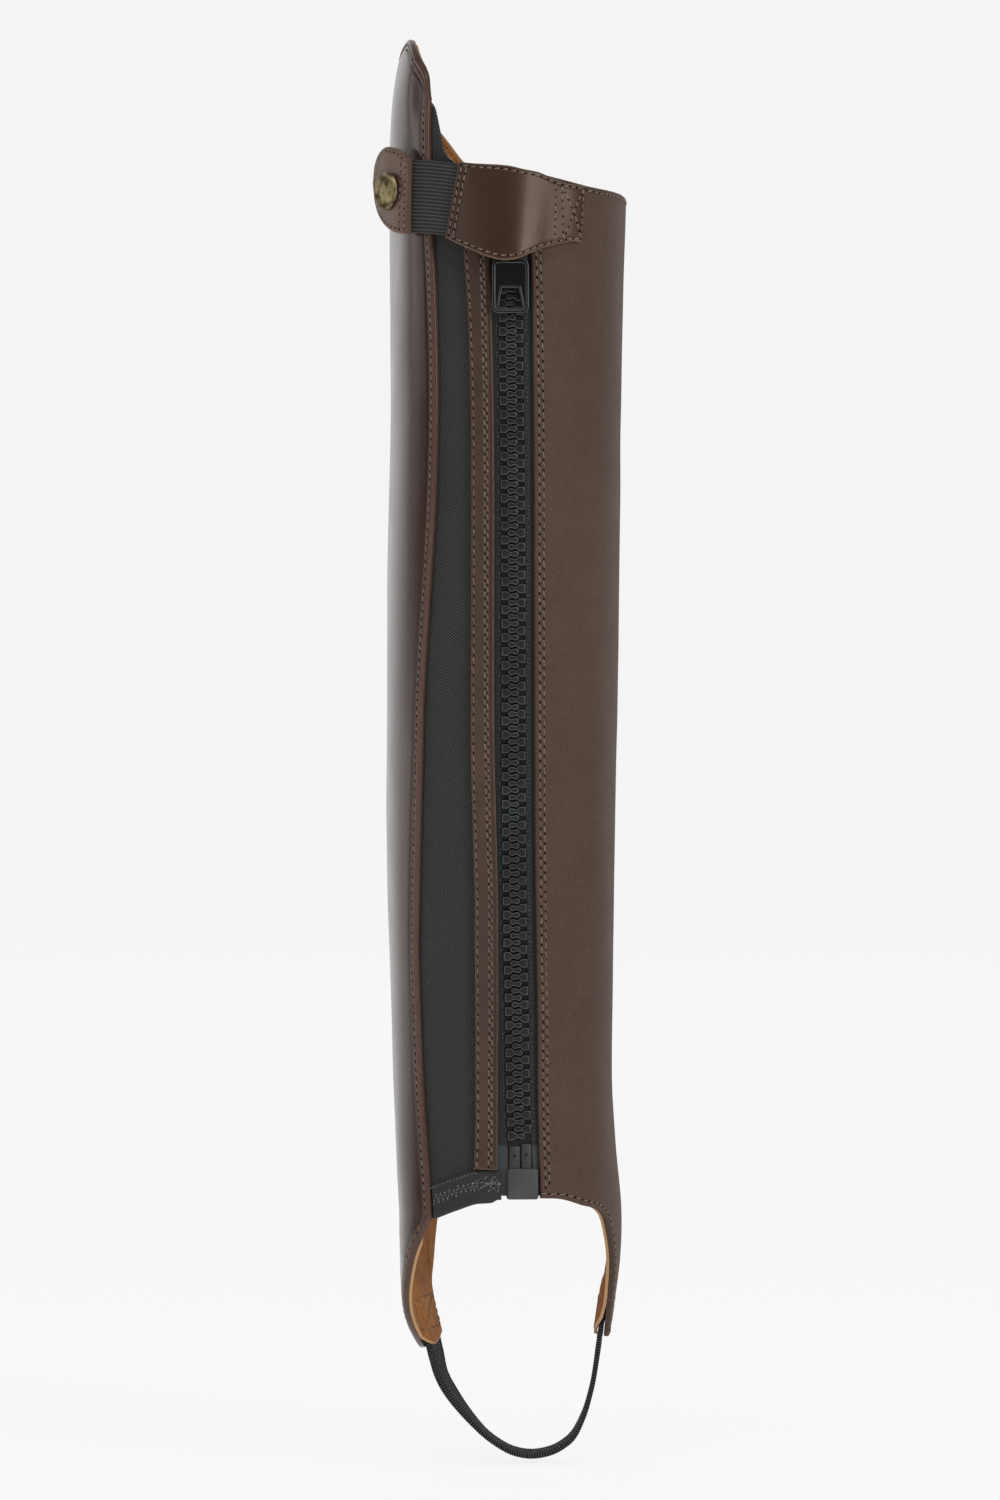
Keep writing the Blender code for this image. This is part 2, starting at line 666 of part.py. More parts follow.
def build_snap():
    brass = ((0.33, 0.27, 0.12), 0.38, 1.0)
    at, rise = snap_frame()
    cap = [
        (0, CAP_HEIGHT), (CAP_RADIUS * 0.55, CAP_HEIGHT * 0.93),
        (CAP_RADIUS * 0.85, CAP_HEIGHT * 0.7), (CAP_RADIUS, CAP_HEIGHT * 0.35),
        (CAP_RADIUS, SNAP_GAP), (0, SNAP_GAP),
    ]
    turned("snap_cap", cap, at, brass)
    top = -LEATHER - SNAP_GAP
    foot = -LEATHER - rise + STUD_FOOT_GAP
    stem, base = STUD_RADIUS * 0.6, STUD_RADIUS * 0.75
    stud = [
        (0, top), (STUD_RADIUS, top), (STUD_RADIUS, top - 1.4), (stem, top - 1.4),
        (stem, foot + 0.8), (base, foot + 0.8), (base, foot), (0, foot),
    ]
    turned("snap_stud", stud, at, brass)


def catmull(points, per_span):
    """Points along a smooth curve through the given ones."""
    ends = [2 * points[0] - points[1], *points, 2 * points[-1] - points[-2]]
    found = []
    for a, b, c, d in zip(ends, ends[1:], ends[2:], ends[3:]):
        for k in range(per_span):
            s = k / per_span
            found.append(
                b + (c - a) * s / 2 + (a - b * 2.5 + c * 2 - d / 2) * s * s
                + (b * 1.5 - a / 2 + d / 2 - c * 1.5) * s ** 3
            )
    return [*found, points[-1]]


def strap_lines(across=4):
    """For each line along the strap: where its two faces run, from one ear round to the other."""
    faces = []
    middle = LEATHER + STRAP_GAP + STRAP_THICK / 2
    for k in range(across + 1):
        share = k / across
        ends = {}
        for side, (first, last) in STRAP_ANGLES.items():
            angle = first + (last - first) * share
            heights = [STRAP_TOP + (STRAP_LEAVES[side] - STRAP_TOP) * n / 4 for n in range(5)]
            ends[side] = [(angle, z) for z in heights]
        aside = STRAP_WIDTH * (share - 0.5)
        hung = [
            Vector((x, STRAP_Y, z)) + Matrix.Rotation(-math.radians(yaw), 3, "Z") @ Vector((0, aside, 0))
            for x, z, yaw in zip(*STRAP_ROUTE.values())
        ]
        leaving = place(*ends["outer"][-1], -middle)
        arriving = place(*ends["inner"][-1], -middle)
        faces.append((ends, catmull([leaving, *hung, arriving], 2)))
    return faces


def build_strap():
    lines = strap_lines()
    held = len(lines[0][0]["outer"])
    free = len(lines[0][1])
    total = 2 * (held - 1) + free

    def middle(i, j):
        return lines[min(max(i, 0), len(lines) - 1)][1][min(max(j, 0), free - 1)]

    def spot(i, j, side):
        depth = LEATHER + STRAP_GAP + STRAP_THICK * side
        ends = lines[i][0]
        if j < held:
            return place(*ends["outer"][j], -depth)
        if j >= total - held:
            return place(*ends["inner"][total - 1 - j], -depth)
        k = j - held + 1
        along = middle(i, k + 1) - middle(i, k - 1)
        across = middle(i + 1, k) - middle(i - 1, k)
        outward = across.cross(along).normalized()
        return middle(i, k) - outward * STRAP_THICK * (side - 0.5)

    wall("foot_strap", len(lines), total, spot, ((0.020, 0.022, 0.021), 0.85))


def main():
    for old in list(bpy.data.objects):
        bpy.data.objects.remove(old, do_unlink=True)
    for name in ("half_chap", "cutters"):
        bpy.context.scene.collection.children.link(bpy.data.collections.new(name))
    bpy.data.collections["cutters"].hide_render = True
    build_panels()
    build_gusset()
    build_zip()
    build_closure()
    build_strap()


main()
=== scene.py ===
"""The looks of a half chap: a zipped leather gaiter for a rider's left lower leg.

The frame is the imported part, in metres with +Z up. Every sewn piece is a fine wall on the leg's
surface, which the tables below give in millimetres and degrees: an angle round the leg, from 0 at
the middle of the back and negative on the outer side, a height, and a distance outwards.
"""

import math
from bisect import bisect_right
from functools import lru_cache

import bmesh
import bpy
from bpy.props import FloatProperty, FloatVectorProperty, PointerProperty
from mathutils import Matrix, Vector, noise


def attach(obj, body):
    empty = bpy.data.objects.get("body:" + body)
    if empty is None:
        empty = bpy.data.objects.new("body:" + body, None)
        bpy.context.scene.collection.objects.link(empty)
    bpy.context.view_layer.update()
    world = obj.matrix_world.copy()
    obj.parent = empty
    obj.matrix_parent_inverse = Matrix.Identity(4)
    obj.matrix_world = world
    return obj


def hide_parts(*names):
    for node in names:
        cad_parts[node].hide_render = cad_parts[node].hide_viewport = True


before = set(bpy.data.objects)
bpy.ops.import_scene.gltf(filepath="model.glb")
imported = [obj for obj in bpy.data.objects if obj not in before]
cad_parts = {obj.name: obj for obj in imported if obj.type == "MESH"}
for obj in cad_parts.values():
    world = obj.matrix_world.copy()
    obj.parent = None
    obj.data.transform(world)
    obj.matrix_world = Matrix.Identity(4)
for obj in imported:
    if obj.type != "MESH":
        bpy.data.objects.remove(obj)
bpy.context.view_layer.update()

bl_info = {
    "name": "Half chap",
    "version": (1, 0, 0),
    "blender": (4, 5, 0),
    "location": "View3D > Sidebar > Half chap",
    "description": "Dresses the half chap in leather, elastic, zip and stitching",
    "category": "Add Mesh",
}

MM = 0.001
TAU = 2 * math.pi

# The leg's outline at a few heights.
SECTIONS = {
    "z": (-408, -394, -378, -362, -345, -322, -300, -265, -225, -170, -115, -75, -35, 0, 20, 40, 60),
    "left": (
        -23.5, -26.4, -30.6, -31.9, -32.8, -34.7, -36.2, -37.6, -38.7,
        -38.8, -38.2, -37.4, -37.8, -37.8, -37.4, -35.8, -31.6,
    ),
    "right": (
        35.6, 37.0, 39.4, 41.5, 41.8, 39.8, 38.5, 38.8, 39.2,
        40.2, 41.0, 41.4, 42.2, 43.2, 43.3, 43.0, 40.6,
    ),
    "back": (
        -50, -50, -50, -50, -49, -48, -49, -54, -61,
        -70, -74, -74, -71, -68, -66, -64, -62,
    ),
    "front": (60, 60, 62, 63, 61, 58, 57, 60, 64, 69, 72, 73, 73, 72.5, 72, 71, 70),
    "lean": (8, 8, 7.5, 7, 5.5, 3.5, 2, 0.5, 0, 0, 0, 0, 0, 0, 0, 0, 0),
    "back_wider": (
        0.11, 0.11, 0.11, 0.11, 0.10, 0.08, 0.06, 0.05, 0.05,
        0.05, 0.05, 0.05, 0.05, 0.05, 0.05, 0.05, 0.05,
    ),
}
SQUARENESS = 0.045

# How far across, seen from behind, each seam runs.
SEAMS = {
    "z": (-346, -330, -316, -293, -259, -239, -192, -172, -125, -105, -60, -38, -22, 8, 30),
    "leather_edge": (
        -23.6, -24.7, -25.8, -27.3, -28.5, -28.2, -27.0, -26.5,
        -23.4, -22.2, -21.5, -22.1, -22.9, -24.2, -24.4,
    ),
    "strip_left": (
        -8.9, -8.8, -8.3, -8.3, -8.5, -8.5, -9.8, -9.8,
        -9.7, -9.7, -10.2, -11.1, -12.2, -12.4, -12.4,
    ),
    "strip_right": (
        -0.9, -0.9, -0.8, -0.7, -0.7, -0.7, -1.9, -2.1,
        -2.1, -2.1, -2.6, -3.1, -3.6, -3.8, -3.8,
    ),
    "zip": (7.7, 7.2, 6.6, 6.0, 5.3, 5.0, 4.6, 4.6, 4.5, 4.3, 3.8, 3.6, 3.4, 3.2, 3.2),
    "panel_edge": (
        13.9, 13.6, 13.2, 12.9, 12.5, 12.2, 11.8, 11.7,
        11.6, 11.6, 11.2, 10.9, 10.4, 10.2, 10.2,
    ),
}
CHAIN_HALF = 4.0

# Columns: lines up the leg that keep their place between the seams, numbered round it. On the
# two leathers one of them takes about 5.3 mm.
COLUMNS = {
    "front_outer": 0, "leather_edge": 18, "strip_left": 21, "strip_right": 23,
    "chain_left": 24, "chain_right": 25, "panel_edge": 26, "front_inner": 47,
}
CHAIN_MIDDLE = 24.5
COLUMN_PER_MM = 1 / 5.3

# Where each sewn piece begins and ends, in columns, and how many points it has between.
PIECE_COLUMNS = {
    "smooth_side": (0, 18, 56),
    "grained_side": (26, 47, 62),
    "outer_suede": (0, 16.9, 46),
    "inner_suede": (27.1, 47, 50),
    "elastic_gusset": (17, 22.075, 30),
    "folded_hem": (18.12, 23.3, 60),
    "facing": (21, 23, 44),
    "outer_tape": (22.08, 24.505, 40),
    "inner_tape": (24.495, 27, 40),
}

# Rims: a height for each angle round the leg.
TOP_RIM = {
    "angle": (
        -180, -167, -158, -151, -144, -130, -115, -100, -85, -71, -64, -59, -53, -48,
        -43, -39.6, -38.2, -36.2, 0, 12, 20, 35, 49, 68, 90, 110, 130, 150, 165, 180,
    ),
    "z": (
        8.5, 13, 18.6, 23.9, 28.3, 35.2, 40.8, 45, 48.8, 51.2, 52.3, 51.6, 48.2, 45,
        41.4, 38, 34.8, 30.4, 5.4, 4.1, 2.6, 0.4, -0.3, -0.4, 0, 0.6, 1.6, 3, 5, 8.5,
    ),
}
BOTTOM_RIM = {
    "angle": (
        -180, -160, -145, -134, -127, -122, -117.5, -113.5, -110.5, -107.5, -105.5, -104,
        -101.5, -97, -91, -83, -77, -68, -59, -51, -44.5, -36.5, -30, 12, 19, 28, 40, 51,
        60, 66, 71.5, 76, 80, 84, 88.5, 93, 102, 107, 109.5, 111.5, 113, 115, 118.5, 123,
        128, 135, 144, 160, 180,
    ),
    "z": (
        -329.5, -330.5, -333, -337, -341.5, -346.5, -353, -360, -367, -373.5, -380, -386,
        -389.8, -391.8, -393.3, -393.4, -390, -384, -376, -368, -360.5, -352.4, -346.4,
        -339.4, -339.6, -340, -342.3, -344,
        -347.5, -354, -361, -368, -375, -383, -388.3, -390.4, -390.4, -388.3, -384, -377,
        -370, -363, -355, -347.5, -341.5, -336, -332, -330, -329.5,
    ),
}
ELASTIC_TOP = {
    "angle": (-50, -40, -35.2, -31.7, -30, -29, -26.7, -22.1, -19, -14, -6, 0),
    "z": (32, 30, 27.3, 20.3, 16, 13.6, 10.8, 8.3, 7.4, 6.6, 6, 5.6),
}
HEM_BOTTOM = {
    "angle": (-50, -33, -28.3, -17.4, -8.9, -2.3, 0),
    "z": (-347, -346.8, -346.4, -343.7, -341.5, -341, -340),
}
HEM_TOP = {
    "angle": (-50, -34, -17.7, -10.7, -1.4, 0),
    "z": (-336, -335.9, -332.2, -330.4, -330.3, -330.3),
}
STRIP_FOOT = {"angle": (-50, -34, -17.7, -10.7, 0), "z": (-335.6, -335.5, -331.8, -330, -330)}
STRIP_TOP = {"angle": (-50, 50), "z": (5.4, 5.4)}
TAPE_TOP = {"angle": (-40, 40), "z": (4.6, 2.0)}
TAPE_BOTTOM = {"angle": (-40, 40), "z": (-338.4, -338.8)}

# Soft hollows in the leathers.
DENTS = {
    "angle": (-43, -48, -66, -100, 60),
    "z": (34, 6, -20, -352, -346),
    "width": (5, 6, 14, 16, 14),
    "height": (9, 10, 26, 16, 16),
    "depth": (1.1, 0.7, 0.8, 0.6, 0.6),
}

# The smooth leather creases across the ankle.
ANKLE_Z = -352.0
ANKLE_TALL = 22.0

# Layers, as distances inwards from the leather's outer face.
LEATHER = 2.0
UNDER = 2.3
LINING_STEP_TOP = -366.0
LINING_STEP_HEIGHT = 8.0
LINING_STEP = 2.3
LINING_STEP_ASIDE = 2.4
LINING_THICK = 0.9
ELASTIC_THICK = 1.2
TAPE_THICK = 1.0
HEM_FACE = 0.6
HEM_BACK = 2.0

# The foot strap: its ends between the leather and the lining of both ears, and the route of its
# middle under the foot.
STRAP_TOP = -378.5
STRAP_LEAVES = {"outer": -396.0, "inner": -393.0}
STRAP_ANGLES = {"outer": (-82.5, -101.0), "inner": (87.5, 105.5)}
EAR_DEGREE = 0.62
STRAP_Y = 11.5
STRAP_WIDTH = 21.0
STRAP_THICK = 1.8
STRAP_GAP = 0.4
STRAP_LINE = 2.6
STRAP_SPAN_POINTS = 90
STRAP_ROUTE = {
    "x": (-20.2, -16.7, -11.5, -5.5, -0.2, 4.8, 10.8, 17.0, 21.8, 25.6, 29.0, 31.1, 32.5),
    "z": (
        -403.5, -410, -417, -423.5, -427.5, -430.0, -431.0, -430.0, -427.6,
        -424.0, -417, -410, -403.5,
    ),
    "yaw": (8.5, 8, 4.5, 1, 0, 0, 0, 0, 0, 0, 1, 1.5, 1.5),
}

# The zip.
CHAIN_FACE = 1.2
CHAIN_BACK = 4.4
CHAIN_MIDDLE_OUT = -(CHAIN_FACE + CHAIN_BACK) / 2
CHAIN_TOP = -17.6
CHAIN_BOTTOM = -320.6
SLIDER_Z = -21.9
AXLE_OUT = 1.7
BOX_Z = -334.7
BLOCK_BOTTOM = -329.1
FILM_TOP = -322.0

# The zip's moulded shapes, each seen from outside with its own middle at 0, 0.
TOOTH_FOOT = ((-4.0, 1.45), (-1.95, 1.5), (-1.0, 0.58))
TOOTH_HEAD_AT = 0.75
TOOTH_HEAD_RADIUS = 1.05
TOOTH_HALF_THICK = 1.6
SLIDER_HALF = (
    (4.6, -7.4), (5.3, -6.8), (5.5, -2.0), (6.1, 2.5), (6.1, 6.2), (5.2, 7.7), (1.6, 7.9),
)
SLIDER_NOTCH = (0, 7.2)
BRIDGE_ARCH = (
    (3.9, 0.2), (3.7, 1.9), (2.7, 3.1), (1.1, 3.4), (-1.1, 3.4), (-2.2, 2.7), (-2.5, 1.6),
    (-2.5, 0.2), (-1.0, 0.2), (-1.0, 1.6), (-0.6, 2.55), (0.6, 2.6), (1.0, 2.2), (1.2, 0.2),
)
BRIDGE_HALF = 1.15
SLIDER_WINGS = ((-0.75, 0.65), (-6.2, -4.9))
SLIDER_POST = {"size": (3.0, 2.6, 5.0), "centre": (0, 6.1, -2.75), "bevel": 0.5}
SLIDER_FLANGE = {"size": (0.9, 10, 1.5), "bevel": 0.3}
SLIDER_FLANGE_AT = ((-5.4, 0.5, -1.2), (5.4, 0.5, -1.2))
PULL_EDGE = {"half": 6.1, "low": -21.4, "high": -3.3, "radius": 2.0}
PULL_RIM = {"half": 5.0, "low": -20.4, "high": -4.6, "radius": 1.2}
PULL_WINDOW = {"top": -13.0, "bottom": -19.6, "top_half": 2.8, "bottom_half": 4.1}
PULL_WINDOW_RIM = {"top": -12.2, "bottom": -20.3, "top_half": 3.5, "bottom_half": 4.95}
PULL_NECK = ((-3.0, 0.5), (3.0, 0.5), (3.0, -4.2), (-3.0, -4.2))
PULL_EYE = ((-1.7, -0.5), (1.7, -0.5), (1.7, -3.4), (-1.7, -3.4))
BOX_EDGE = {"half": 5.2, "low": -5.2, "high": 5.2, "radius": 0.9}
BOX_HALF_THICK = 2.35
BOX_ASIDE = 0.4
BLOCKS = {
    "name": ("pin", "retainer"),
    "node": ("zip_pin", "zip_retainer"),
    "left": (-3.9, 0.2),
    "right": (-0.3, 3.6),
    "top": (7.1, 7.9),
}
BLOCK_FOOT = -1.2
BLOCK_HALF_THICK = 1.4
# The dark disc on the pin and the retainer, as radius and height: painted shade of a small hollow.
DIMPLE_SHADE_PROFILE = ((0, -0.2), (0.42, -0.2), (0.42, 0.03), (0, 0.05))

# The closure: the tab's two edges and how high it stands, the webbing and the snapped end. A
# length that ends in _DEGREE is how many mm one degree takes there.
CLOSURE = {
    "angle_top": (-18, -13.7, -8.3, -3, 1.2, 5.7, 11.2, 15.9, 20.4, 25.4, 31.4),
    "z_top": (7.5, 6.9, 6.5, 6.2, 5.7, 4.7, 3.9, 2.3, 0.8, 0.2, -0.2),
    "angle_bottom": (-22.9, -18.9, -12, -6, -1, 4, 9.5, 15, 21.5, 26, 29.4),
    "z_bottom": (-17.8, -19.7, -22.6, -24.9, -25.9, -25.2, -22.8, -20.8, -19.4, -18.6, -18.8),
    "rise_top": (2.3, 2.4, 2.6, 2.7, 2.8, 2.6, 1.7, 0.9, 0.4, 0.4, 0.4),
    "rise_bottom": (2.3, 2.7, 3.2, 3.8, 4.1, 3.8, 2.4, 1.0, 0.4, 0.4, 0.4),
}
WEBBING_EDGES = {
    "angle": (-44.7, -31.3, -19.5, -11),
    "top": (9.7, 8.6, 7.2, 6.2),
    "bottom": (-15.0, -16.0, -17.3, -18.2),
}
WEBBING_THICK = 1.6
WEBBING_WIDTH = 25.0
WEBBING_GAP = 0.3
WEBBING_DEGREE = 0.72
TAB_LONG = 46.0
TAB_ENDS = (CLOSURE["angle_top"][0], CLOSURE["angle_top"][-1])
TAB_PER_MM = (TAB_ENDS[1] - TAB_ENDS[0]) / TAB_LONG
TAB_TALL = 28.0
SNAP_TAB = {
    "angle": (-60.9, -60.0, -58.4, -56, -53, -49, -45, -41),
    "top": (4.4, 7.8, 10.8, 13.1, 14.2, 13.7, 12.0, 9.4),
    "bottom": (0.6, -3.2, -6.8, -9.9, -12.4, -14.5, -15.6, -15.7),
    "rise": (6.4, 6.2, 5.9, 5.4, 4.75, 3.9, 3.0, 2.2),
}
SNAP_TAB_TALL = 27.0
SNAP_TAB_DEGREE = 0.66
SNAP_ANGLE = -51.0
SNAP_Z = -0.8

# The snap's two parts as radius and height, the stud's heights from its top or from its foot.
CAP_PROFILE = (
    (0, 1.75), (2.2, 1.7), (3.6, 1.5), (4.35, 1.15), (4.7, 1.1), (5.0, 1.35), (5.4, 1.75),
    (5.9, 1.8), (6.3, 1.4), (6.4, 0.8), (6.3, 0.65), (3.2, 0.65), (3.0, 0.0), (0, 0.0),
)
STUD_HEAD = (
    (0, 0.3), (2.2, 0.3), (2.2, 0), (4.4, 0), (4.6, -0.25), (4.6, -1.15), (4.3, -1.4), (2.8, -1.4),
)
STUD_FOOT = ((2.8, 0.8), (3.4, 0.6), (3.4, 0), (0, 0))

# The threads' depth, how deep a needle hole's painted shade reaches, the steps of a rounded corner
# and the leathers' warm shine.
THREAD_SUNK = 0.02
STITCH_LIFT = -0.12
HOLE_SHADE_HALF_DEEP = 0.13
CORNER_STEPS = 4
WARM_TINT = (1.0, 0.74, 0.62, 1)

# Distances from an edge, closest together where the leather rounds over and dips at a seam.
NEAR = (0, 0.15, 0.4, 0.8, 1.2, 1.55, 1.85, 2.15, 2.5, 2.9, 3.4, 4.2, 5.2)


# --- The leg's surface ---


def read(table, key, at):
    """The row of a table at a value of one of its columns, along smooth curves."""
    stations = table[key]
    last = len(stations) - 1
    at = min(max(at, stations[0]), stations[-1])
    k = min(bisect_right(stations, at) - 1, last - 1)
    step = stations[k + 1] - stations[k]
    s = (at - stations[k]) / step
    ends = [(max(i - 1, 0), min(i + 1, last)) for i in (k, k + 1)]
    spans = [stations[high] - stations[low] for low, high in ends]
    weights = (
        (1 + 2 * s) * (1 - s) ** 2,
        s * (1 - s) ** 2 * step,
        s * s * (3 - 2 * s),
        s * s * (s - 1) * step,
    )
    found = {}
    for name, values in table.items():
        slopes = [(values[high] - values[low]) / span for (low, high), span in zip(ends, spans)]
        found[name] = (
            weights[0] * values[k] + weights[1] * slopes[0]
            + weights[2] * values[k + 1] + weights[3] * slopes[1]
        )
    return found


@lru_cache(None)
def outline(z):
    """The middle and half width across and along the leg at a height, and how its back leans."""
    row = read(SECTIONS, "z", z)
    return (
        (row["right"] + row["left"]) / 2, (row["right"] - row["left"]) / 2 / (1 - SQUARENESS),
        (row["front"] + row["back"]) / 2, (row["front"] - row["back"]) / 2 / (1 - SQUARENESS),
        row["lean"], row["back_wider"],
    )


def surface(angle, z):
    """The leather's outer face before dents: a squared oval, a little wider at the back."""
    middle_x, half_x, middle_y, half_y, lean, wider = outline(round(z, 2))
    t = math.radians(angle)
    sine, cosine = math.sin(t), math.cos(t)
    across = (sine + SQUARENESS * math.sin(3 * t)) * (1 + wider * cosine)
    deep = cosine - SQUARENESS * math.cos(3 * t)
    return Vector((middle_x + half_x * across - lean * cosine, middle_y - half_y * deep, z))


def dent(angle, z):
    """How deep the soft hollows are there."""
    return sum(
        depth * math.exp(-(((angle - middle) / wide) ** 2) - ((z - height) / tall) ** 2)
        for middle, height, wide, tall, depth in zip(*DENTS.values())
    )


def place(angle, z, out=0.0):
    """A point beside the leather's outer face, `out` mm outwards from it."""
    across = surface(angle + 0.5, z) - surface(angle - 0.5, z)
    up = surface(angle, z + 0.5) - surface(angle, z - 0.5)
    return surface(angle, z) + across.cross(up).normalized() * (out - dent(angle, z))


def degree_mm(angle, z):
    """How many mm one degree takes round the leg there."""
    return (surface(angle + 0.5, z) - surface(angle - 0.5, z)).length


def angle_of(x, z):
    """The angle at which the back of the tube at height z lies x mm across."""
    low, high = -88.0, 88.0
    for _ in range(30):
        middle = (low + high) / 2
        if surface(middle, z).x < x:
            low = middle
        else:
            high = middle
    return low


def seam_angles():
    """The seams' table with angles in place of how far across they run."""
    angles = {"z": SEAMS["z"]}
    lines = {name: SEAMS[name] for name in SEAMS if name != "z"}
    lines["chain_left"] = [x - CHAIN_HALF for x in SEAMS["zip"]]
    lines["chain_right"] = [x + CHAIN_HALF for x in SEAMS["zip"]]
    for name, values in lines.items():
        angles[name] = [angle_of(x, z) for x, z in zip(values, SEAMS["z"])]
    angles["front_outer"] = [-180.0] * len(SEAMS["z"])
    angles["front_inner"] = [180.0] * len(SEAMS["z"])
    return angles


SEAM_ANGLES = seam_angles()
COLUMN_LINES = tuple(COLUMNS.items())


@lru_cache(None)
def seams_at(z):
    return read(SEAM_ANGLES, "z", z)


def column_angle(column, z):
    """The angle of a column at a height."""
    seams = seams_at(round(z, 1))
    for (left, first), (right, last) in zip(COLUMN_LINES, COLUMN_LINES[1:]):
        if column <= last:
            share = (column - first) / (last - first)
            return seams[left] + share * (seams[right] - seams[left])
    return 180.0


def rim_slope(rim, angle):
    """How steeply a rim climbs, in mm of height for each mm round the leg."""
    z = read(rim, "angle", angle)["z"]
    rise = read(rim, "angle", angle + 0.5)["z"] - read(rim, "angle", angle - 0.5)["z"]
    return rise / degree_mm(angle, z)


def rim_at(column, rim):
    """Where a column meets a rim, and how far up it one mm square to the rim reaches."""
    z = rim["z"][0]
    for _ in range(6):
        z = read(rim, "angle", column_angle(column, z))["z"]
    return z, math.hypot(1, rim_slope(rim, column_angle(column, z)))


def frame_on(angle, z, out):
    """A frame on the surface: X across to the inner side, Y up the leg and Z outwards."""
    across = (place(angle + 1.0, z, out) - place(angle - 1.0, z, out)).normalized()
    up = (place(angle, z + 2.0, out) - place(angle, z - 2.0, out)).normalized()
    outward = across.cross(up).normalized()
    turn = Matrix((across, outward.cross(across), outward)).transposed().to_4x4()
    return Matrix.Translation(place(angle, z, out)) @ turn


def ease(s):
    """Goes smoothly from 0 to 1 as s does."""
    s = min(max(s, 0.0), 1.0)
    return s * s * (3 - 2 * s)


def lining_face(angle, z):
    """How deep the lining's face lies: it steps in over the foot strap's ends."""
    aside = EAR_DEGREE * min(
        max(min(ends) - angle, angle - max(ends)) for ends in STRAP_ANGLES.values()
    )
    over = 1 - ease((aside - 0.2) / LINING_STEP_ASIDE)
    return UNDER + LINING_STEP * over * ease((LINING_STEP_TOP - z) / LINING_STEP_HEIGHT)


def ripple(point, size, seed=0.0):
    """Smooth noise from -1 to 1, in waves about `size` mm long."""
    return noise.noise(point / size + Vector((seed, 2.7 * seed, -seed)))


# --- Meshes ---


def spread(first, last, count, low_scale, high_scale, near=NEAR):
    """Values from first to last, closer together by both ends, with `count` between them."""
    low = [first + d * low_scale for d in near]
    high = [last - d * high_scale for d in reversed(near)]
    gap = high[0] - low[-1]
    return low + [low[-1] + gap * k / (count + 1) for k in range(1, count + 1)] + high


def evenly(first, last, count):
    """Values from first to last in `count` even steps."""
    return [first + (last - first) * k / count for k in range(count + 1)]


def finish_mesh(bm, name, smooth):
    """A closed mesh in metres, facing outwards, with edges over `smooth` degrees sharp."""
    bmesh.ops.recalc_face_normals(bm, faces=bm.faces[:])
    if bm.calc_volume(signed=True) < 0:
        bmesh.ops.reverse_faces(bm, faces=bm.faces[:])
    bmesh.ops.scale(bm, vec=(MM, MM, MM), verts=bm.verts[:])
    mesh = bpy.data.meshes.new(name)
    bm.to_mesh(mesh)
    bm.free()
    mesh.shade_smooth()
    mesh.set_sharp_from_angle(angle=math.radians(smooth))
    return mesh


def dress(name, bm, first, slot, nodes=(), body="chap", smooth=45, second=None):
    """Makes a piece from a mesh in mm, hangs it on what it rides on and hides the parts it stands
    for.
    """
    made = bpy.data.objects.new(name, finish_mesh(bm, name, smooth))
    bpy.context.scene.collection.objects.link(made)
    made.data.materials.append(first)
    if second:
        made.data.materials.append(second)
    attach(made, body)
    if nodes:
        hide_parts(*nodes)


def wall(across, along, spot, flat, edge):
    """A closed wall: a grid of points, doubled. spot(i, j, side) places them, flat(i, j) gives
    their place on the flat cut in mm, and edge(i, j) how far they are from the cut edge."""
    bm = bmesh.new()
    from_edge = bm.verts.layers.float.new("edge_mm")
    which = bm.verts.layers.float.new("back_face")
    uv = bm.loops.layers.uv.new("UVMap")
    bmesh.ops.create_grid(bm, x_segments=across - 1, y_segments=along - 1, size=0.5)
    front = bm.verts[:]
    back = verts_in(bmesh.ops.extrude_face_region(bm, geom=bm.faces[:], use_keep_orig=True))
    cut = {}
    for side, sheet in enumerate((front, back)):
        for vert in sheet:
            i = round((vert.co.x + 0.5) * (across - 1))
            j = round((vert.co.y + 0.5) * (along - 1))
            vert.co = spot(i, j, side)
            vert[from_edge] = edge(i, j)
            vert[which] = side
            cut[vert] = flat(i, j)
    for face in bm.faces:
        for loop in face.loops:
            loop[uv].uv = cut[loop.vert]
    return bm


def leg_wall(columns, bottom, top, rows, face, back, relief, free=(1, 1, 1, 1), near=NEAR):
    """A sewn piece on the leg. free says which of its sides are cut edges: left, right, bottom
    and top. relief(angle, z, distance) lifts its face, by its distance to the nearest of them."""
    grid = []
    for column in columns:
        low, low_scale = rim_at(column, bottom)
        high, high_scale = rim_at(column, top)
        line = []
        for z in spread(low, high, rows, low_scale, high_scale, near):
            angle = column_angle(column, z)
            scale = degree_mm(angle, z)
            left = (angle - column_angle(columns[0], z)) * scale
            right = (column_angle(columns[-1], z) - angle) * scale
            sides = (left, right, (z - low) / low_scale, (high - z) / high_scale)
            distance = min(d for d, is_free in zip(sides, free) if is_free)
            line.append((angle, z, left, distance))
        grid.append(line)

    def depth(at, angle, z):
        return at(angle, z) if callable(at) else at

    def spot(i, j, side):
        angle, z, _, distance = grid[i][j]
        if side:
            return place(angle, z, -depth(back, angle, z))
        return place(angle, z, relief(angle, z, distance) - depth(face, angle, z))

    return wall(
        len(columns), len(grid[0]), spot,
        lambda i, j: (grid[i][j][2], grid[i][j][1]), lambda i, j: grid[i][j][3],
    )


def rounded(distance, radius, drop):
    """How far a surface falls away within `radius` of an edge."""
    return -drop * max(0.0, 1 - distance / radius) ** 2


def groove(distance, at, depth, width):
    """How far a surface dips near a line `at` mm from an edge."""
    return -depth * math.exp(-(((distance - at) / width) ** 2))


def verts_in(made):
    """The vertices among what an operator made."""
    return [part for part in made["geom"] if isinstance(part, bmesh.types.BMVert)]


def thicken(bm, faces, height):
    """Turns flat faces into a solid `height` mm tall."""
    made = bmesh.ops.extrude_face_region(bm, geom=faces, use_keep_orig=True)
    bmesh.ops.translate(bm, vec=(0, 0, height), verts=verts_in(made))
    bmesh.ops.recalc_face_normals(bm, faces=bm.faces[:])


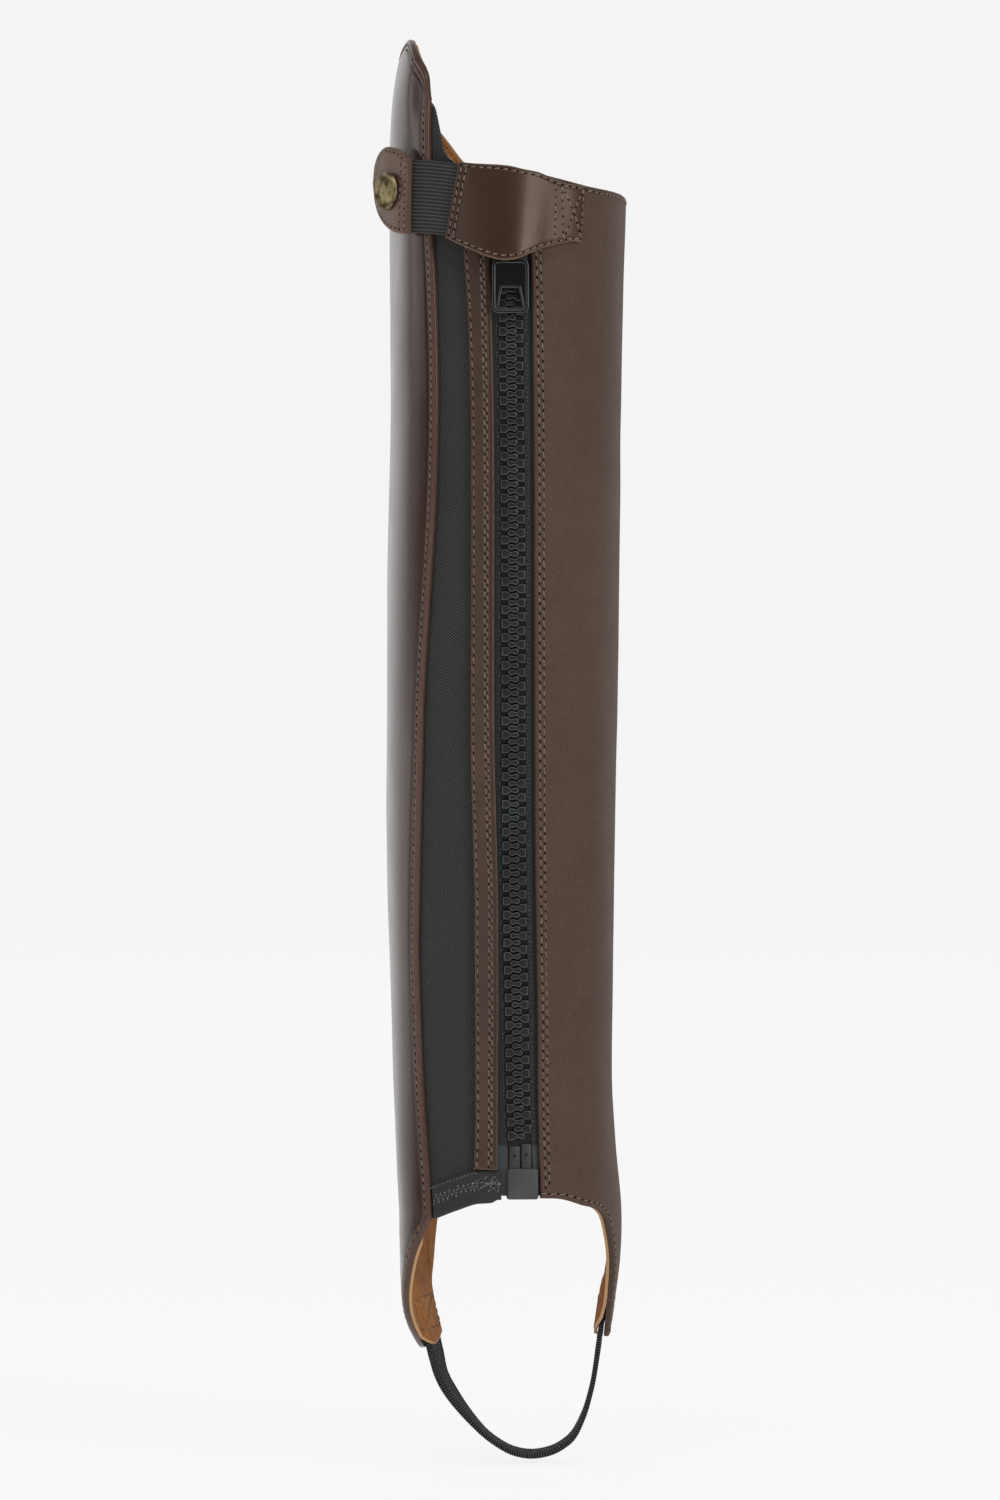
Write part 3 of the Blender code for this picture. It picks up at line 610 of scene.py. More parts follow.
def level(edge):
    """The height of a flat edge, or None for one that climbs."""
    heights = {round(vert.co.z, 4) for vert in edge.verts}
    return heights.pop() if len(heights) == 1 else None


def plate(points, low, high, bevel, segments=2, both=True):
    """A flat solid with this outline, both of its rims rounded, or its upper one."""
    bm = bmesh.new()
    thicken(bm, [bm.faces.new([bm.verts.new((x, y, low)) for x, y in points])], high - low)
    rims = {round(low, 4), round(high, 4)} if both else {round(high, 4)}
    round_over(bm, [edge for edge in bm.edges if level(edge) in rims], bevel, segments)
    return bm


def round_over(bm, edges, width, segments=2):
    """Rounds these edges over."""
    bmesh.ops.bevel(
        bm, geom=edges, offset=width, affect="EDGES", segments=segments, profile=0.5,
        material=-1, clamp_overlap=True,
    )


def mark_rim_highlights(bm):
    """Gives the faces of a plate's rounded rims its second finish, a paler plastic that paints their
    highlight.
    """
    for face in bm.faces:
        if 0.15 < face.normal.z < 0.97:
            face.material_index = 1
    return bm


def ring(outer, inner, low, high, bevel=0.0):
    """A flat frame between two outlines with as many points each."""
    bm = bmesh.new()
    loops = []
    for points in (outer, inner):
        verts = [bm.verts.new((x, y, low)) for x, y in points]
        loops += [bm.edges.new((a, b)) for a, b in zip(verts, verts[1:] + verts[:1])]
    thicken(bm, bmesh.ops.bridge_loops(bm, edges=loops)["faces"], high - low)
    if bevel:
        rims = [
            edge for edge in bm.edges
            if level(edge) == round(high, 4) and len({round(f.normal.z) for f in edge.link_faces}) > 1
        ]
        round_over(bm, rims, bevel)
    return bm


def box(size, centre, bevel):
    """A block with rounded edges."""
    bm = bmesh.new()
    shape = Matrix.Translation(centre) @ Matrix.Diagonal((*size, 1.0))
    bmesh.ops.create_cube(bm, size=1.0, matrix=shape)
    round_over(bm, bm.edges[:], bevel)
    return bm


def oblong(half, low, high, radius):
    """A rectangle's outline with rounded corners, anticlockwise."""
    points = []
    for x, y, start in (
        (half, low, -90), (half, high, 0), (-half, high, 90), (-half, low, 180),
    ):
        centre = (x - math.copysign(radius, x), y + (radius if y == low else -radius))
        for degrees in evenly(start, start + 90, CORNER_STEPS):
            t = math.radians(degrees)
            points.append((centre[0] + radius * math.cos(t), centre[1] + radius * math.sin(t)))
    return points


def mirrored(half, *middle):
    """An outline from its right half, and the points on its middle line."""
    return [*half, *middle, *((-x, y) for x, y in reversed(half))]


def turned(profile, steps=48):
    """A solid of revolution about Z: profile points are radius and height."""
    bm = bmesh.new()
    verts = [bm.verts.new((radius, 0, height)) for radius, height in profile]
    edges = [bm.edges.new(pair) for pair in zip(verts, verts[1:])]
    bmesh.ops.spin(
        bm, geom=verts + edges, cent=(0, 0, 0), axis=(0, 0, 1), angle=TAU, steps=steps,
        use_merge=True,
    )
    bmesh.ops.remove_doubles(bm, verts=bm.verts[:], dist=0.0005)
    bmesh.ops.recalc_face_normals(bm, faces=bm.faces[:])
    return bm


def merge(parts, matrix):
    """One mesh of several, moved to a frame."""
    whole = bmesh.new()
    for part in parts:
        stamp(whole, as_stamp(part))
    bmesh.ops.transform(whole, matrix=matrix, verts=whole.verts[:])
    return whole


def as_stamp(bm):
    """A small mesh that stamp() copies."""
    mesh = bpy.data.meshes.new("stamp")
    bm.to_mesh(mesh)
    bm.free()
    return mesh


def stamp(bm, mesh, matrix=None):
    """Adds a copy of a small mesh to bm."""
    before = len(bm.verts)
    bm.from_mesh(mesh)
    if matrix is not None:
        bm.verts.ensure_lookup_table()
        bmesh.ops.transform(bm, matrix=matrix, verts=bm.verts[before:])


# --- Finishes ---


class Socket:
    """A shader value that Python's operators extend with Math nodes."""

    def __init__(self, finish, link):
        self.finish, self.link = finish, link

    def _math(self, operation, *values):
        return self.finish.node(
            "ShaderNodeMath", {"operation": operation}, dict(enumerate(values))
        )

    def __add__(self, other):
        return self._math("ADD", self, other)

    def __sub__(self, other):
        return self._math("SUBTRACT", self, other)

    def __rsub__(self, other):
        return self._math("SUBTRACT", other, self)

    def __mul__(self, other):
        return self._math("MULTIPLY", self, other)

    def __truediv__(self, other):
        return self._math("DIVIDE", self, other)

    __radd__ = __add__
    __rmul__ = __mul__

    def sine(self):
        return self._math("SINE", self)

    def floor(self):
        return self._math("FLOOR", self)


class Finish:
    """A Principled material and the nodes that feed it."""

    def __init__(self, name, **constants):
        self.material = bpy.data.materials.new(name)
        self.material.use_nodes = True
        self.tree = self.material.node_tree
        self.shader = self.tree.nodes["Principled BSDF"]
        for socket, value in constants.items():
            self.shader.inputs[socket.replace("_", " ")].default_value = value

    def node(self, kind, settings=None, sockets=None, output=0):
        made = self.tree.nodes.new(kind)
        for key, value in (settings or {}).items():
            setattr(made, key, value)
        for key, value in (sockets or {}).items():
            if isinstance(value, Socket):
                self.tree.links.new(made.inputs[key], value.link)
            elif made.inputs[key].type == "RGBA":
                made.inputs[key].default_value = (*value, 1)
            else:
                made.inputs[key].default_value = value
        return Socket(self, made.outputs[output])

    def point(self, scale=(1, 1, 1)):
        at = self.node("ShaderNodeTexCoord", output="Object")
        return self.node("ShaderNodeMapping", None, {"Vector": at, "Scale": scale})

    def axis(self, space, output):
        at = self.node("ShaderNodeTexCoord", output=space)
        return self.node("ShaderNodeSeparateXYZ", None, {0: at}, output)

    def cut(self):
        """The two directions of the flat cut, in mm."""
        return self.axis("UV", "X"), self.axis("UV", "Y")

    def given(self, name):
        """A value that the mesh carries."""
        return self.node("ShaderNodeAttribute", {"attribute_name": name}, None, "Fac")

    def noise(self, scale, detail=3.0, rough=0.55, point=None):
        return self.node(
            "ShaderNodeTexNoise", None,
            {"Vector": point or self.point(), "Scale": scale, "Detail": detail, "Roughness": rough},
        )

    def cells(self, scale):
        return self.node(
            "ShaderNodeTexVoronoi", {"feature": "SMOOTH_F1"},
            {"Vector": self.point(), "Scale": scale},
        )

    def between(self, value, low, high, to_low=0.0, to_high=1.0):
        """Goes smoothly from to_low to to_high as value goes from low to high."""
        return self.node(
            "ShaderNodeMapRange", {"interpolation_type": "SMOOTHSTEP"},
            {0: value, 1: low, 2: high, 3: to_low, 4: to_high},
        )

    def wave(self, phase):
        """A wave from 0 to 1 for each whole number of the phase."""
        return (phase * TAU).sine() * 0.5 + 0.5

    def mix(self, share, first, second):
        """A colour between two, the share being how much of the second."""
        return self.node(
            "ShaderNodeMix", {"data_type": "RGBA"}, {0: share, 6: first, 7: second}, 2
        )

    def bump(self, height, depth, strength=1.0, after=None):
        """A relief `depth` mm deep."""
        sockets = {"Height": height, "Distance": depth * MM, "Strength": strength}
        if after is not None:
            sockets["Normal"] = after
        return self.node("ShaderNodeBump", None, sockets)

    def feed(self, colour, roughness, normal=None):
        for name, socket in (
            ("Base Color", colour), ("Roughness", roughness), ("Normal", normal)
        ):
            if socket is not None:
                self.tree.links.new(self.shader.inputs[name], socket.link)
        return self.material


def leather(
    name, hue, roughness, grain, depth, coat, raw, dark=1.0, light=1.5, fleck=None, shine=0.4,
    band=None, band_mm=0.0, dyed_back=False,
):
    """Hide, mottled between shares of its hue, paler at its cut edges and on a turned band."""
    f = Finish(
        name, Coat_Weight=coat, Coat_Roughness=0.16, Specular_IOR_Level=shine,
        Specular_Tint=WARM_TINT,
    )
    base = getattr(bpy.context.scene.chap_hues, hue)
    dark, light, fleck = (tuple(c * share for c in base) for share in (dark, light, fleck or light))
    mottle = f.noise(14, 4) * 0.6 + f.noise(95, 3) * 0.4
    colour = f.mix(f.between(mottle, 0.36, 0.64), dark, light)
    edge = f.given("edge_mm")
    if band_mm:
        colour = f.mix(f.between(edge, band_mm - 0.5, band_mm + 0.2, 1.0, 0.0), colour, band)
    worn = f.between(edge + f.noise(420, 2) * 0.3, 0.2, 0.5, 0.75, 0.0)
    colour = f.mix(worn, colour, raw)
    behind = f.between(f.given("back_face"), 0.6, 0.9)
    colour = f.mix(behind, colour, dark if dyed_back else raw)
    pebbles = f.cells(grain)
    fine = f.noise(grain * 2.2, 2)
    flecked = f.between(fine, 0.46, 0.72, 0.0, 0.8) * f.between(pebbles, 0.2, 0.6)
    rough = f.noise(60, 3) * 0.12 + (roughness - 0.06) + fine * 0.04
    normal = f.bump(pebbles * 0.7 + fine * 0.5, depth)
    normal = f.bump(f.noise(30, 2), 0.25, 0.35, normal)
    return f.feed(f.mix(flecked, colour, fleck), rough, normal)


def suede(name):
    """Tan suede with a brushed nap, paler at its cut edges."""
    f = Finish(name, Sheen_Weight=0.06, Sheen_Roughness=0.4, Specular_IOR_Level=0.08)
    nap = f.noise(60, 3, 0.5, f.point((1, 0.45, 1))) * 0.4 + f.noise(420, 4, 0.7) * 0.6
    colour = f.mix(f.between(nap, 0.34, 0.66), (0.285, 0.108, 0.030), (0.44, 0.20, 0.070))
    edge = f.given("edge_mm")
    colour = f.mix(f.between(edge, 0.15, 0.5, 1.0, 0.0), colour, (0.50, 0.30, 0.155))
    fibres = f.noise(1500, 3, 0.7)
    normal = f.bump(fibres * 0.6 + nap * 0.4, 0.16)
    return f.feed(colour, f.noise(90, 2) * 0.08 + 0.88, normal)


def twill(name):
    """Black elastic cloth with diagonal ribs falling to the inner side."""
    f = Finish(name, Specular_IOR_Level=0.3, Sheen_Weight=0.15)
    u, v = f.cut()
    slant = math.radians(33)
    row_mm, yarn_mm = 0.86, 0.95
    row = (u * math.sin(slant) + v * math.cos(slant)) / row_mm
    run = (u * math.cos(slant) - v * math.sin(slant)) / yarn_mm
    yarn = f.wave(run + (row + 0.25).floor() * 0.37)
    cloth = f.wave(row) * (yarn * 0.55 + 0.45)
    patchy = f.noise(22, 3) * 0.35 + 0.83
    colour = f.mix(cloth * patchy, (0.0015, 0.002, 0.0015), (0.084, 0.088, 0.080))
    return f.feed(colour, f.noise(200, 2) * 0.1 + 0.75, f.bump(cloth, 0.18))


def ribbed(name, across, along, low, high):
    """Woven elastic: small yarns across and along the flat cut, in mm."""
    f = Finish(name, Specular_IOR_Level=0.35, Sheen_Weight=0.1)
    u, v = f.cut()
    half_step = (v / along).floor() * 0.5
    yarn = f.wave(u / across + half_step) * (f.wave(v / along) * 0.6 + 0.4)
    colour = f.mix(yarn * (f.noise(40, 3) * 0.5 + 0.75), low, high)
    return f.feed(colour, f.noise(260, 2) * 0.12 + 0.68, f.bump(yarn, 0.08))


def corded(name, spacing, low, high, shade_line_mm=0.0):
    """Woven ribs across the flat cut, each of small yarns, with painted shade along a groove beside
    the edge.
    """
    f = Finish(name, Specular_IOR_Level=0.12)
    u, v = f.cut()
    pitch_mm = getattr(bpy.context.scene.chap_sizes, spacing) / MM
    yarn_mm = 0.62
    rib = f.wave(v / pitch_mm + 0.25)
    yarn = f.wave(u / yarn_mm + rib * 0.25)
    shade = rib * rib * rib * (yarn * 0.35 + 0.65) * (f.noise(40, 3) * 0.5 + 0.75)
    # Painted shade: a dark line along the groove beside the edge.
    if shade_line_mm:
        off = f.given("edge_mm") - shade_line_mm
        shade = shade * f.between(off * off, 0.02, 0.3)
    colour = f.mix(shade, low, high)
    return f.feed(colour, f.noise(260, 2) * 0.12 + 0.66, f.bump(yarn * rib, 0.1))


def zip_cloth(name):
    """The tape's weave, with a smooth film over its foot."""
    f = Finish(name, Specular_IOR_Level=0.3)
    u, v = f.cut()
    warp_mm, weft_mm = 0.55, 0.62
    weft = f.wave(v / weft_mm)
    weave = f.wave(u / warp_mm + weft * 0.5) * 0.7 + weft * 0.3
    colour = f.mix(weave, (0.008, 0.010, 0.010), (0.040, 0.045, 0.045))
    top = FILM_TOP * MM
    film = f.between(f.axis("Object", "Z"), top - 0.5 * MM, top + 0.5 * MM, 1.0, 0.0)
    colour = f.mix(film * 0.8, colour, (0.052, 0.058, 0.064))
    rough = 0.8 - film * 0.45
    return f.feed(colour, rough, f.bump(weave * (1 - film * 0.7), 0.1))


def moulded(name, colour, paler, roughness, depth=0.03, shine=0.5):
    """Moulded plastic, a little cloudy and speckled."""
    f = Finish(name, Specular_IOR_Level=shine)
    speckle = f.noise(1100, 3, 0.65)
    cloud = f.noise(60, 3)
    tone = f.mix(f.between(cloud, 0.35, 0.7, 0.0, 0.6) * (speckle * 0.6 + 0.5), colour, paler)
    return f.feed(tone, cloud * 0.14 + (roughness - 0.07), f.bump(speckle, depth))


def old_brass(name):
    """Brass with a dark patina."""
    f = Finish(name, Metallic=1.0)
    patina = f.noise(240, 4, 0.65)
    edge = f.noise(900, 2)
    colour = f.mix(f.between(patina, 0.4, 0.62), (0.36, 0.29, 0.15), (0.10, 0.08, 0.042))
    return f.feed(colour, patina * 0.35 + 0.3, f.bump(edge * 0.5 + patina * 0.5, 0.06))


def thread(name, dark, light):
    """Sewing thread, its plies light and dark."""
    f = Finish(name, Specular_IOR_Level=0.3, Sheen_Weight=0.05)
    ply = f.noise(1900, 2, 0.6)
    colour = f.mix(f.between(ply, 0.38, 0.62), dark, light)
    return f.feed(colour, ply * 0.2 + 0.5, f.bump(ply, 0.12))


def plain(name, colour, roughness, glow=0.0):
    """An even matt surface, which may glow a little."""
    f = Finish(
        name, Emission_Strength=glow, Emission_Color=(1.0, 1.0, 1.0, 1), Specular_IOR_Level=0.1
    )
    cloud = f.noise(3, 2)
    tone = f.mix(cloud * 0.5, colour, tuple(c * 0.985 for c in colour))
    return f.feed(tone, cloud * 0.05 + roughness)


# Each finish: the function that makes it, and what it is given.
FINISHES = {
    "smooth_leather": (leather, {
        "hue": "smooth_leather", "roughness": 0.22, "grain": 620, "depth": 0.03, "coat": 0.15,
        "raw": (0.07, 0.04, 0.03), "light": 1.25, "band": (0.088, 0.047, 0.037), "band_mm": 3.1,
    }),
    "grained_leather": (leather, {
        "hue": "grained_leather", "roughness": 0.6, "grain": 820, "depth": 0.26, "coat": 0.0,
        "raw": (0.06, 0.043, 0.034), "light": 1.2, "fleck": 1.6, "shine": 0.13,
    }),
    "facing_leather": (leather, {
        "hue": "facing_leather", "roughness": 0.36, "grain": 700, "depth": 0.05, "coat": 0.1,
        "raw": (0.27, 0.17, 0.11),
    }),
    "tab_leather": (leather, {
        "hue": "tab_leather", "roughness": 0.36, "grain": 560, "depth": 0.035, "coat": 0.1,
        "raw": (0.3, 0.19, 0.11), "shine": 0.66, "dyed_back": True,
    }),
    # A paler copy of the tab's leather for the snap tab, standing for the light it catches: painted
    # light.
    "snap_leather": (leather, {
        "hue": "facing_leather", "roughness": 0.3, "grain": 560, "depth": 0.035, "coat": 0.15,
        "raw": (0.2, 0.12, 0.08), "dark": 2.4, "light": 3.4, "dyed_back": True,
    }),
    "suede": (suede, {}),
    "twill": (twill, {}),
    "hem": (ribbed, {
        "across": 0.7, "along": 0.75, "low": (0.010, 0.011, 0.010), "high": (0.052, 0.055, 0.051),
    }),
    # The strap's dark line along the groove by its edge is painted shade.
    "strap": (corded, {
        "spacing": "strap_rib", "low": (0.002, 0.002, 0.002), "high": (0.105, 0.098, 0.095),
        "shade_line_mm": STRAP_LINE,
    }),
    "webbing": (corded, {
        "spacing": "rib_spacing", "low": (0.034, 0.033, 0.034), "high": (0.105, 0.100, 0.103),
    }),
    "zip_cloth": (zip_cloth, {}),
    "moulded": (moulded, {
        "colour": (0.006, 0.007, 0.0075), "paler": (0.014, 0.0155, 0.0165), "roughness": 0.42,
        "shine": 0.28,
    }),
    "glossy_moulded": (moulded, {
        "colour": (0.0035, 0.004, 0.0045), "paler": (0.007, 0.008, 0.009), "roughness": 0.18,
        "depth": 0.01, "shine": 0.35,
    }),
    "box_grey": (moulded, {
        "colour": (0.046, 0.047, 0.051), "paler": (0.072, 0.074, 0.079), "roughness": 0.48,
        "depth": 0.06,
    }),
    # Paler plastic for the rounded rims of the teeth and the pull: painted highlight.
    "moulded_rim": (moulded, {
        "colour": (0.045, 0.05, 0.053), "paler": (0.085, 0.094, 0.10), "roughness": 0.3,
    }),
    "block_grey": (moulded, {
        "colour": (0.024, 0.025, 0.027), "paler": (0.04, 0.042, 0.045), "roughness": 0.42,
    }),
    "old_brass": (old_brass, {}),
    "thread": (thread, {"dark": (0.10, 0.068, 0.05), "light": (0.26, 0.19, 0.145)}),
    "tan_thread": (thread, {"dark": (0.17, 0.08, 0.033), "light": (0.34, 0.18, 0.08)}),
    "dark_thread": (thread, {"dark": (0.02, 0.021, 0.02), "light": (0.09, 0.095, 0.09)}),
    "grey_thread": (thread, {"dark": (0.10, 0.105, 0.10), "light": (0.26, 0.27, 0.26)}),
    # Near black for the beads in needle holes and the disc on the pin and the retainer: painted
    # shade.
    "needle_hole": (plain, {"colour": (0.009, 0.006, 0.005), "roughness": 0.9}),
    "backdrop": (plain, {"colour": (0.13, 0.13, 0.13), "roughness": 0.95, "glow": 0.85}),
}


@lru_cache(None)
def finish(name):
    """The finish of one kind of piece, made once."""
    maker, values = FINISHES[name]
    return maker(name, **values)


# --- Sewing ---


def resample(path, pitch):
    """Points and outward directions at an even pitch along a path of them."""
    lengths = [0.0]
    for (a, _), (b, _) in zip(path, path[1:]):
        lengths.append(lengths[-1] + (b - a).length)
    count = max(1, round(lengths[-1] / pitch))
    marks = []
    k = 0
    for n in range(count + 1):
        at = lengths[-1] * n / count
        while k < len(path) - 2 and lengths[k + 1] < at:
            k += 1
        share = (at - lengths[k]) / max(lengths[k + 1] - lengths[k], 1e-9)
        point = path[k][0].lerp(path[k + 1][0], share)
        marks.append((point, path[k][1].lerp(path[k + 1][1], share).normalized()))
    return marks


def bead():
    """A small ball that each thread, and each needle hole's painted shade, is stretched from."""
    bm = bmesh.new()
    turn = Matrix.Rotation(math.pi / 2, 4, "Y")
    bmesh.ops.create_uvsphere(bm, u_segments=6, v_segments=4, radius=1.0, matrix=turn)
    return as_stamp(bm)


class Sewing:
    """Threads, and a dark bead of painted shade in each needle hole between them, gathered into two
    meshes.
    """

    def __init__(self):
        self.threads, self.holes = bmesh.new(), bmesh.new()
        self.bead = bead()

    def add(self, bm, at, *half_axes):
        """Adds a bead to bm, stretched along three half axes."""
        turn = Matrix(half_axes).transposed().to_4x4()
        stamp(bm, self.bead, Matrix.Translation(at) @ turn)

    def row(self, path, pitch=None, wide=None, slant=8.0, holes=True):
        """Sews along a path: pitch and wide in mm, slant in degrees."""
        sizes = bpy.context.scene.chap_sizes
        wide = wide or sizes.thread_width / MM
        marks = resample(path, pitch or sizes.stitch_length / MM)
        for (a, out_a), (b, out_b) in zip(marks, marks[1:]):
            along = b - a
            out = (out_a + out_b).normalized()
            run = Matrix.Rotation(math.radians(slant), 3, out) @ along.normalized()
            side = out.cross(run).normalized()
            self.add(
                self.threads, (a + b) / 2 - out * THREAD_SUNK,
                run * along.length * 0.4, side * wide / 2, out * wide * 0.5,
            )
            # A dark bead at each needle hole: painted shade.
            if holes:
                self.add(
                    self.holes, a,
                    run * along.length * 0.17, side * wide * 0.55, out * HOLE_SHADE_HALF_DEEP,
                )

    def done(self, name, slot="thread", kind="thread"):
        """Makes the pieces of what is sewn."""
        dress(name, self.threads, finish(kind), slot)
        if self.holes.verts:
            dress(name + "_holes", self.holes, finish("needle_hole"), slot)
        else:
            self.holes.free()


def mark(angle, z, out):
    """A point on the leg and its outward direction."""
    point = place(angle, z, out)
    return point, (place(angle, z, out + 1) - point).normalized()


def seam_path(column, inset, low, high, out):
    """A line beside a seam, `inset` mm across from it."""
    path = []
    for z in evenly(low, high, max(2, round((high - low) / 3))):
        angle = column_angle(column, z)
        path.append(mark(angle + inset / degree_mm(angle, z), z, out))
    return path


def rim_path(rim, first, last, inset, out):
    """A line along a rim, `inset` mm above it (below it when negative)."""
    path = []
    for angle in evenly(first, last, max(2, round(abs(last - first) / 0.8))):
        slope = rim_slope(rim, angle)
        z = read(rim, "angle", angle)["z"]
        reach = inset / math.hypot(1, slope)
        path.append(mark(angle - slope * reach / degree_mm(angle, z), z + reach, out))
    return path


def patch_path(corners, out, inward=False):
    """Straight lines between places on the leg, `out` a distance or a function of the place."""
    path = []
    for (a, low), (b, high) in zip(corners, corners[1:]):
        for angle, z in zip(evenly(a, b, 8), evenly(low, high, 8)):
            path.append(mark(angle, z, out(angle, z) if callable(out) else out))
    return facing_in(path) if inward else path


def facing_in(path):
    """The same path with its directions turned to the tube's inside."""
    return [(point, -outward) for point, outward in path]


# --- The pieces ---


def hide_wave(angle, z, amount):
    """How far a leather stands out of its even shape, up to about `amount` mm."""
    point = surface(angle, z)
    return amount * (ripple(point, 46, 1.3) + 0.5 * ripple(point, 21, 4.1))


def make_leathers():
    def smooth_relief(angle, z, distance):
        ankle = math.exp(-(((z - ANKLE_Z) / ANKLE_TALL) ** 2))
        crease = 0.22 * ankle * ripple(Vector((angle * 0.25, 0, z * 1.6)), 6.5, 2.0)
        uneven = hide_wave(angle, z, 0.28 + 0.42 * ease(z / 18))
        return (
            rounded(distance, 0.9, 0.7) + groove(distance, 2.2, 0.3, 0.35)
            + groove(distance, 3.4, 0.22, 0.3) + uneven * min(1, distance / 4)
            + crease * min(1, distance / 3) - 0.1
        )

    def grained_relief(angle, z, distance):
        uneven = hide_wave(angle, z, 0.22)
        return (
            rounded(distance, 0.9, 0.7) + groove(distance, 1.7, 0.16, 0.4)
            + uneven * min(1, distance / 4) - 0.1
        )

    for name, relief, slot, node in (
        ("smooth_side", smooth_relief, "smooth_leather", "outer_panel"),
        ("grained_side", grained_relief, "grained_leather", "inner_panel"),
    ):
        columns = spread(*PIECE_COLUMNS[name], COLUMN_PER_MM, COLUMN_PER_MM)
        bm = leg_wall(columns, BOTTOM_RIM, TOP_RIM, 130, 0.0, LEATHER, relief)
        dress(name, bm, finish(slot), slot, [node])


def lining_rim(rim, step):
    """The lining's rim, `step` mm above the leather's."""
    return {"angle": rim["angle"], "z": tuple(z + step for z in rim["z"])}


def make_linings():
    def nap(angle, z, distance):
        return -rounded(distance, 0.5, 0.15)

    def back(angle, z):
        return lining_face(angle, z) + LINING_THICK

    near = (0, 0.3, 0.7, 1.6, 3.2)
    bottom, top = lining_rim(BOTTOM_RIM, 0.35), lining_rim(TOP_RIM, -1.2)
    for name, free, node in (
        ("outer_suede", (0, 1, 1, 1), "outer_lining"),
        ("inner_suede", (1, 0, 1, 1), "inner_lining"),
    ):
        columns = spread(*PIECE_COLUMNS[name], COLUMN_PER_MM, COLUMN_PER_MM, near)
        bm = leg_wall(columns, bottom, top, 110, lining_face, back, nap, free, near)
        dress(name, bm, finish("suede"), "suede_lining", [node])


def make_gusset():
    def stretch(angle, z, distance):
        return 0.1 * ripple(Vector((angle, 0, z * 0.5)), 9, 3.0) - 0.1

    bm = leg_wall(
        evenly(*PIECE_COLUMNS["elastic_gusset"]), HEM_BOTTOM, ELASTIC_TOP, 110,
        UNDER, UNDER + ELASTIC_THICK, stretch, near=(0.2, 0.6, 1.4, 3.0),
    )
    dress("elastic_gusset", bm, finish("twill"), "elastic", ["elastic_panel"])

    def fold(angle, z, distance):
        gathered = max(0.0, 1 - abs(angle + 9) / 8)
        pucker = 0.3 * gathered * ripple(Vector((angle * 3, 0, z)), 3.5, 6.0)
        return rounded(distance, 1.1, 0.8) + pucker

    bm = leg_wall(
        evenly(*PIECE_COLUMNS["folded_hem"]), HEM_BOTTOM, HEM_TOP, 14, HEM_FACE, HEM_BACK, fold,
        near=(0, 0.2, 0.5, 0.9, 1.4),
    )
    dress("folded_hem", bm, finish("hem"), "hem_tape", ["elastic_hem"])


def make_facing():
    def turned_edge(angle, z, distance):
        left = (angle - column_angle(COLUMNS["strip_left"], z)) * degree_mm(angle, z)
        right = (column_angle(COLUMNS["strip_right"], z) - angle) * degree_mm(angle, z)
        ridge = 0.12 * math.exp(-(((right - 0.55) / 0.3) ** 2))
        return (
            rounded(distance, 0.7, 0.6) + groove(left, 0.95, 0.25, 0.3)
            + groove(right, 3.0, 0.25, 0.4) + groove(right, 2.0, 0.2, 0.3)
            + groove(right, 1.0, 0.3, 0.22) + ridge + hide_wave(angle, z, 0.1)
        )

    bm = leg_wall(
        evenly(*PIECE_COLUMNS["facing"]), STRIP_FOOT, STRIP_TOP, 120, 0.0, LEATHER, turned_edge,
        near=(0, 0.2, 0.6, 1.2),
    )
    dress("facing", bm, finish("facing_leather"), "facing_leather", ["facing_strip"])


def make_tapes():
    def sunk(angle, z, distance):
        across = abs(angle - column_angle(CHAIN_MIDDLE, z)) * degree_mm(angle, z)
        return -0.8 * ease((CHAIN_HALF + 0.3 - across) / 0.5)

    for name, node in (("outer_tape", "zip_tape_outer"), ("inner_tape", "zip_tape_inner")):
        bm = leg_wall(
            evenly(*PIECE_COLUMNS[name]), TAPE_BOTTOM, TAPE_TOP, 110, UNDER, UNDER + TAPE_THICK,
            sunk, near=(0, 0.4, 1.2),
        )
        dress(name, bm, finish("zip_cloth"), "zip_tape", [node])
    sewing = Sewing()
    for line, inset in (("chain_left", -0.9), ("chain_right", 0.9), ("chain_right", 1.6)):
        path = seam_path(COLUMNS[line], inset, CHAIN_BOTTOM, CHAIN_TOP, 0.05 - UNDER)
        sewing.row(path, pitch=1.5, wide=0.42, slant=18, holes=False)
    sewing.done("tape_yarn", "zip_tape", "dark_thread")


def tooth():
    """One moulded tooth: a block on the tape, a neck and a round head."""
    head = [
        (TOOTH_HEAD_AT + TOOTH_HEAD_RADIUS * math.cos(t), TOOTH_HEAD_RADIUS * math.sin(t))
        for t in map(math.radians, range(-125, 126, 25))
    ]
    points = [*((x, -y) for x, y in TOOTH_FOOT), *head, *reversed(TOOTH_FOOT)]
    # Its rounded upper rim takes the paler finish of a painted highlight.
    return as_stamp(mark_rim_highlights(plate(points, -TOOTH_HALF_THICK, TOOTH_HALF_THICK, 0.34, both=False)))


def zip_frame(z, out=0.0):
    """A frame on the zip's middle line."""
    return frame_on(column_angle(CHAIN_MIDDLE, z), z, out)


def make_teeth():
    pitch = bpy.context.scene.chap_sizes.tooth_pitch / MM
    first, last = CHAIN_BOTTOM + 2.0, CHAIN_TOP - 2.0
    shape = tooth()
    bm = bmesh.new()
    for k in range(int((last - first) / pitch) + 1):
        for side in (0, 1):
            at = zip_frame(first + pitch * (k + side / 2), CHAIN_MIDDLE_OUT)
            stamp(bm, shape, at @ Matrix.Rotation(math.pi * side, 4, "Z"))
    # The second finish paints a highlight on every tooth's rounded rim.
    dress(
        "zip_teeth", bm, finish("moulded"), "zip_plastic", ["zip_chain"], smooth=40,
        second=finish("moulded_rim"),
    )


